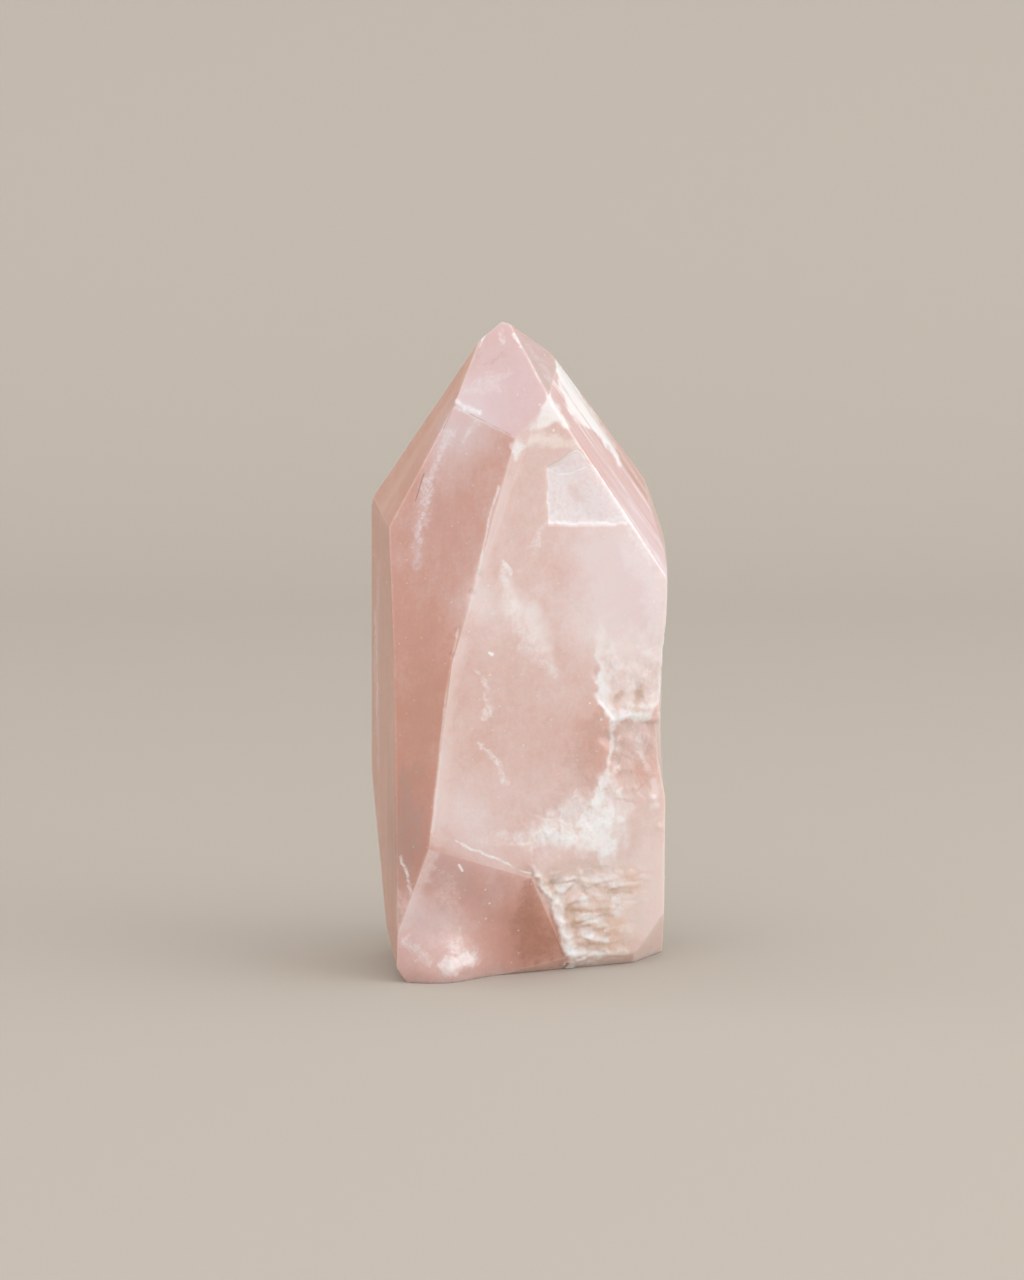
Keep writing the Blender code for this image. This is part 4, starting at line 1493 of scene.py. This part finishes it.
# The studio, in metres: the sweep's half-width, its front edge, where it turns up, the radius of
# the turn and its top; the light's place, aim, size and colour; and the camera's place, how far it
# looks down (degrees), its lens and its sensor (millimetres) and the nearest that it sees.
SWEEP_HALF_WIDTH = 1.6
SWEEP_FRONT = -1.2
SWEEP_TURN = 0.45
SWEEP_RADIUS = 0.35
SWEEP_TOP = 1.6
SWEEP_STEPS = 12
KEY_PLACE = Vector((0.56, -0.27, 0.22))
KEY_AIM = Vector((0.0, 0.0, 0.05))
KEY_SIZE = (0.5, 0.35)
KEY_COLOUR = (1.0, 0.985, 0.97)
FILL_COLOUR = (1.0, 0.995, 0.99, 1.0)
CAMERA_PLACE = (-0.0008, -0.5, 0.1064)
CAMERA_DOWN = 6.92
LENS_LENGTH = 101.5
SENSOR = 36.0
NEAREST = 0.01
BACKDROP_ROUGHNESS = 0.9


def linked(name, data):
    """An object in the scene that shows some data."""
    thing = bpy.data.objects.new(name, data)
    bpy.context.scene.collection.objects.link(thing)
    return thing


def sweep_mesh():
    """The floor, with a round turn up into the backdrop."""
    profile = [(SWEEP_FRONT, 0.0), (SWEEP_TURN, 0.0)]
    for step in range(1, SWEEP_STEPS + 1):
        turn = math.radians(90.0 * step / SWEEP_STEPS)
        rise = SWEEP_RADIUS - SWEEP_RADIUS * math.cos(turn)
        profile.append((SWEEP_TURN + SWEEP_RADIUS * math.sin(turn), rise))
    profile.append((SWEEP_TURN + SWEEP_RADIUS, SWEEP_TOP))
    sides = (-SWEEP_HALF_WIDTH, SWEEP_HALF_WIDTH)
    verts = [(side, y, z) for y, z in profile for side in sides]
    faces = [(2 * i, 2 * i + 1, 2 * i + 3, 2 * i + 2) for i in range(len(profile) - 1)]
    sweep = bpy.data.meshes.new("studio_sweep")
    sweep.from_pydata(verts, [], faces)
    sweep.shade_smooth()
    return sweep


class ROSEQUARTZ_OT_stone(bpy.types.Operator):
    """Make the stone in place of its plain solid"""

    bl_idname = "rosequartz.stone"
    bl_label = "Stone"
    bl_options = {"REGISTER", "UNDO"}

    def execute(self, context):
        mesh = stone_mesh()
        mesh.materials.append(quartz_material(context.scene.rose_quartz_stone))
        stone = linked("rose_quartz_stone", mesh)
        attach(stone, "root")
        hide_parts(NODE)
        return {"FINISHED"}


class ROSEQUARTZ_OT_studio(bpy.types.Operator):
    """Make the floor, the lights and the camera"""

    bl_idname = "rosequartz.studio"
    bl_label = "Studio"
    bl_options = {"REGISTER", "UNDO"}

    def execute(self, context):
        scene = context.scene
        settings = scene.rose_quartz_studio
        sweep = sweep_mesh()
        sweep.materials.append(backdrop_material(settings.backdrop))
        floor = linked("studio_sweep", sweep)

        lamp = bpy.data.lights.new("key_light", "AREA")
        lamp.shape = "RECTANGLE"
        lamp.size, lamp.size_y = KEY_SIZE
        lamp.energy = settings.key
        lamp.color = KEY_COLOUR
        key = linked("key_light", lamp)
        key.location = KEY_PLACE
        key.rotation_euler = (KEY_AIM - KEY_PLACE).to_track_quat("-Z", "Y").to_euler()

        world = bpy.data.worlds.new("studio_world")
        world.use_nodes = True
        background = world.node_tree.nodes["Background"]
        background.inputs["Color"].default_value = FILL_COLOUR
        background.inputs["Strength"].default_value = settings.fill
        scene.world = world

        lens = bpy.data.cameras.new("camera")
        lens.lens = LENS_LENGTH
        lens.sensor_width = SENSOR
        lens.clip_start = NEAREST
        camera = linked("camera", lens)
        camera.location = CAMERA_PLACE
        camera.rotation_euler = (math.radians(90.0 - CAMERA_DOWN), 0.0, 0.0)
        scene.camera = camera
        scene.view_settings.view_transform = "Standard"
        return {"FINISHED"}


class ROSEQUARTZ_PT_panel(bpy.types.Panel):
    """The stone and its studio"""

    bl_label = "Rose Quartz Point"
    bl_idname = "ROSEQUARTZ_PT_panel"
    bl_space_type = "VIEW_3D"
    bl_region_type = "UI"
    bl_category = "Rose Quartz"

    def draw(self, context):
        column = self.layout.column()
        for group in ("rose_quartz_stone", "rose_quartz_studio"):
            settings = getattr(context.scene, group)
            for name in settings.bl_rna.properties.keys():
                if name not in {"rna_type", "name"}:
                    column.prop(settings, name)
        column.operator(ROSEQUARTZ_OT_stone.bl_idname)
        column.operator(ROSEQUARTZ_OT_studio.bl_idname)


CLASSES = (
    StoneSettings, StudioSettings, ROSEQUARTZ_OT_stone, ROSEQUARTZ_OT_studio, ROSEQUARTZ_PT_panel,
)


def register():
    """Add the classes and their settings."""
    for item in CLASSES:
        bpy.utils.register_class(item)
    bpy.types.Scene.rose_quartz_stone = PointerProperty(type=StoneSettings)
    bpy.types.Scene.rose_quartz_studio = PointerProperty(type=StudioSettings)


def unregister():
    """Take the classes and their settings away."""
    del bpy.types.Scene.rose_quartz_stone
    del bpy.types.Scene.rose_quartz_studio
    for item in reversed(CLASSES):
        bpy.utils.unregister_class(item)


def main():
    """Make everything in order."""
    register()
    bpy.ops.rosequartz.studio()
    bpy.ops.rosequartz.stone()


if __name__ == "__main__":
    main()
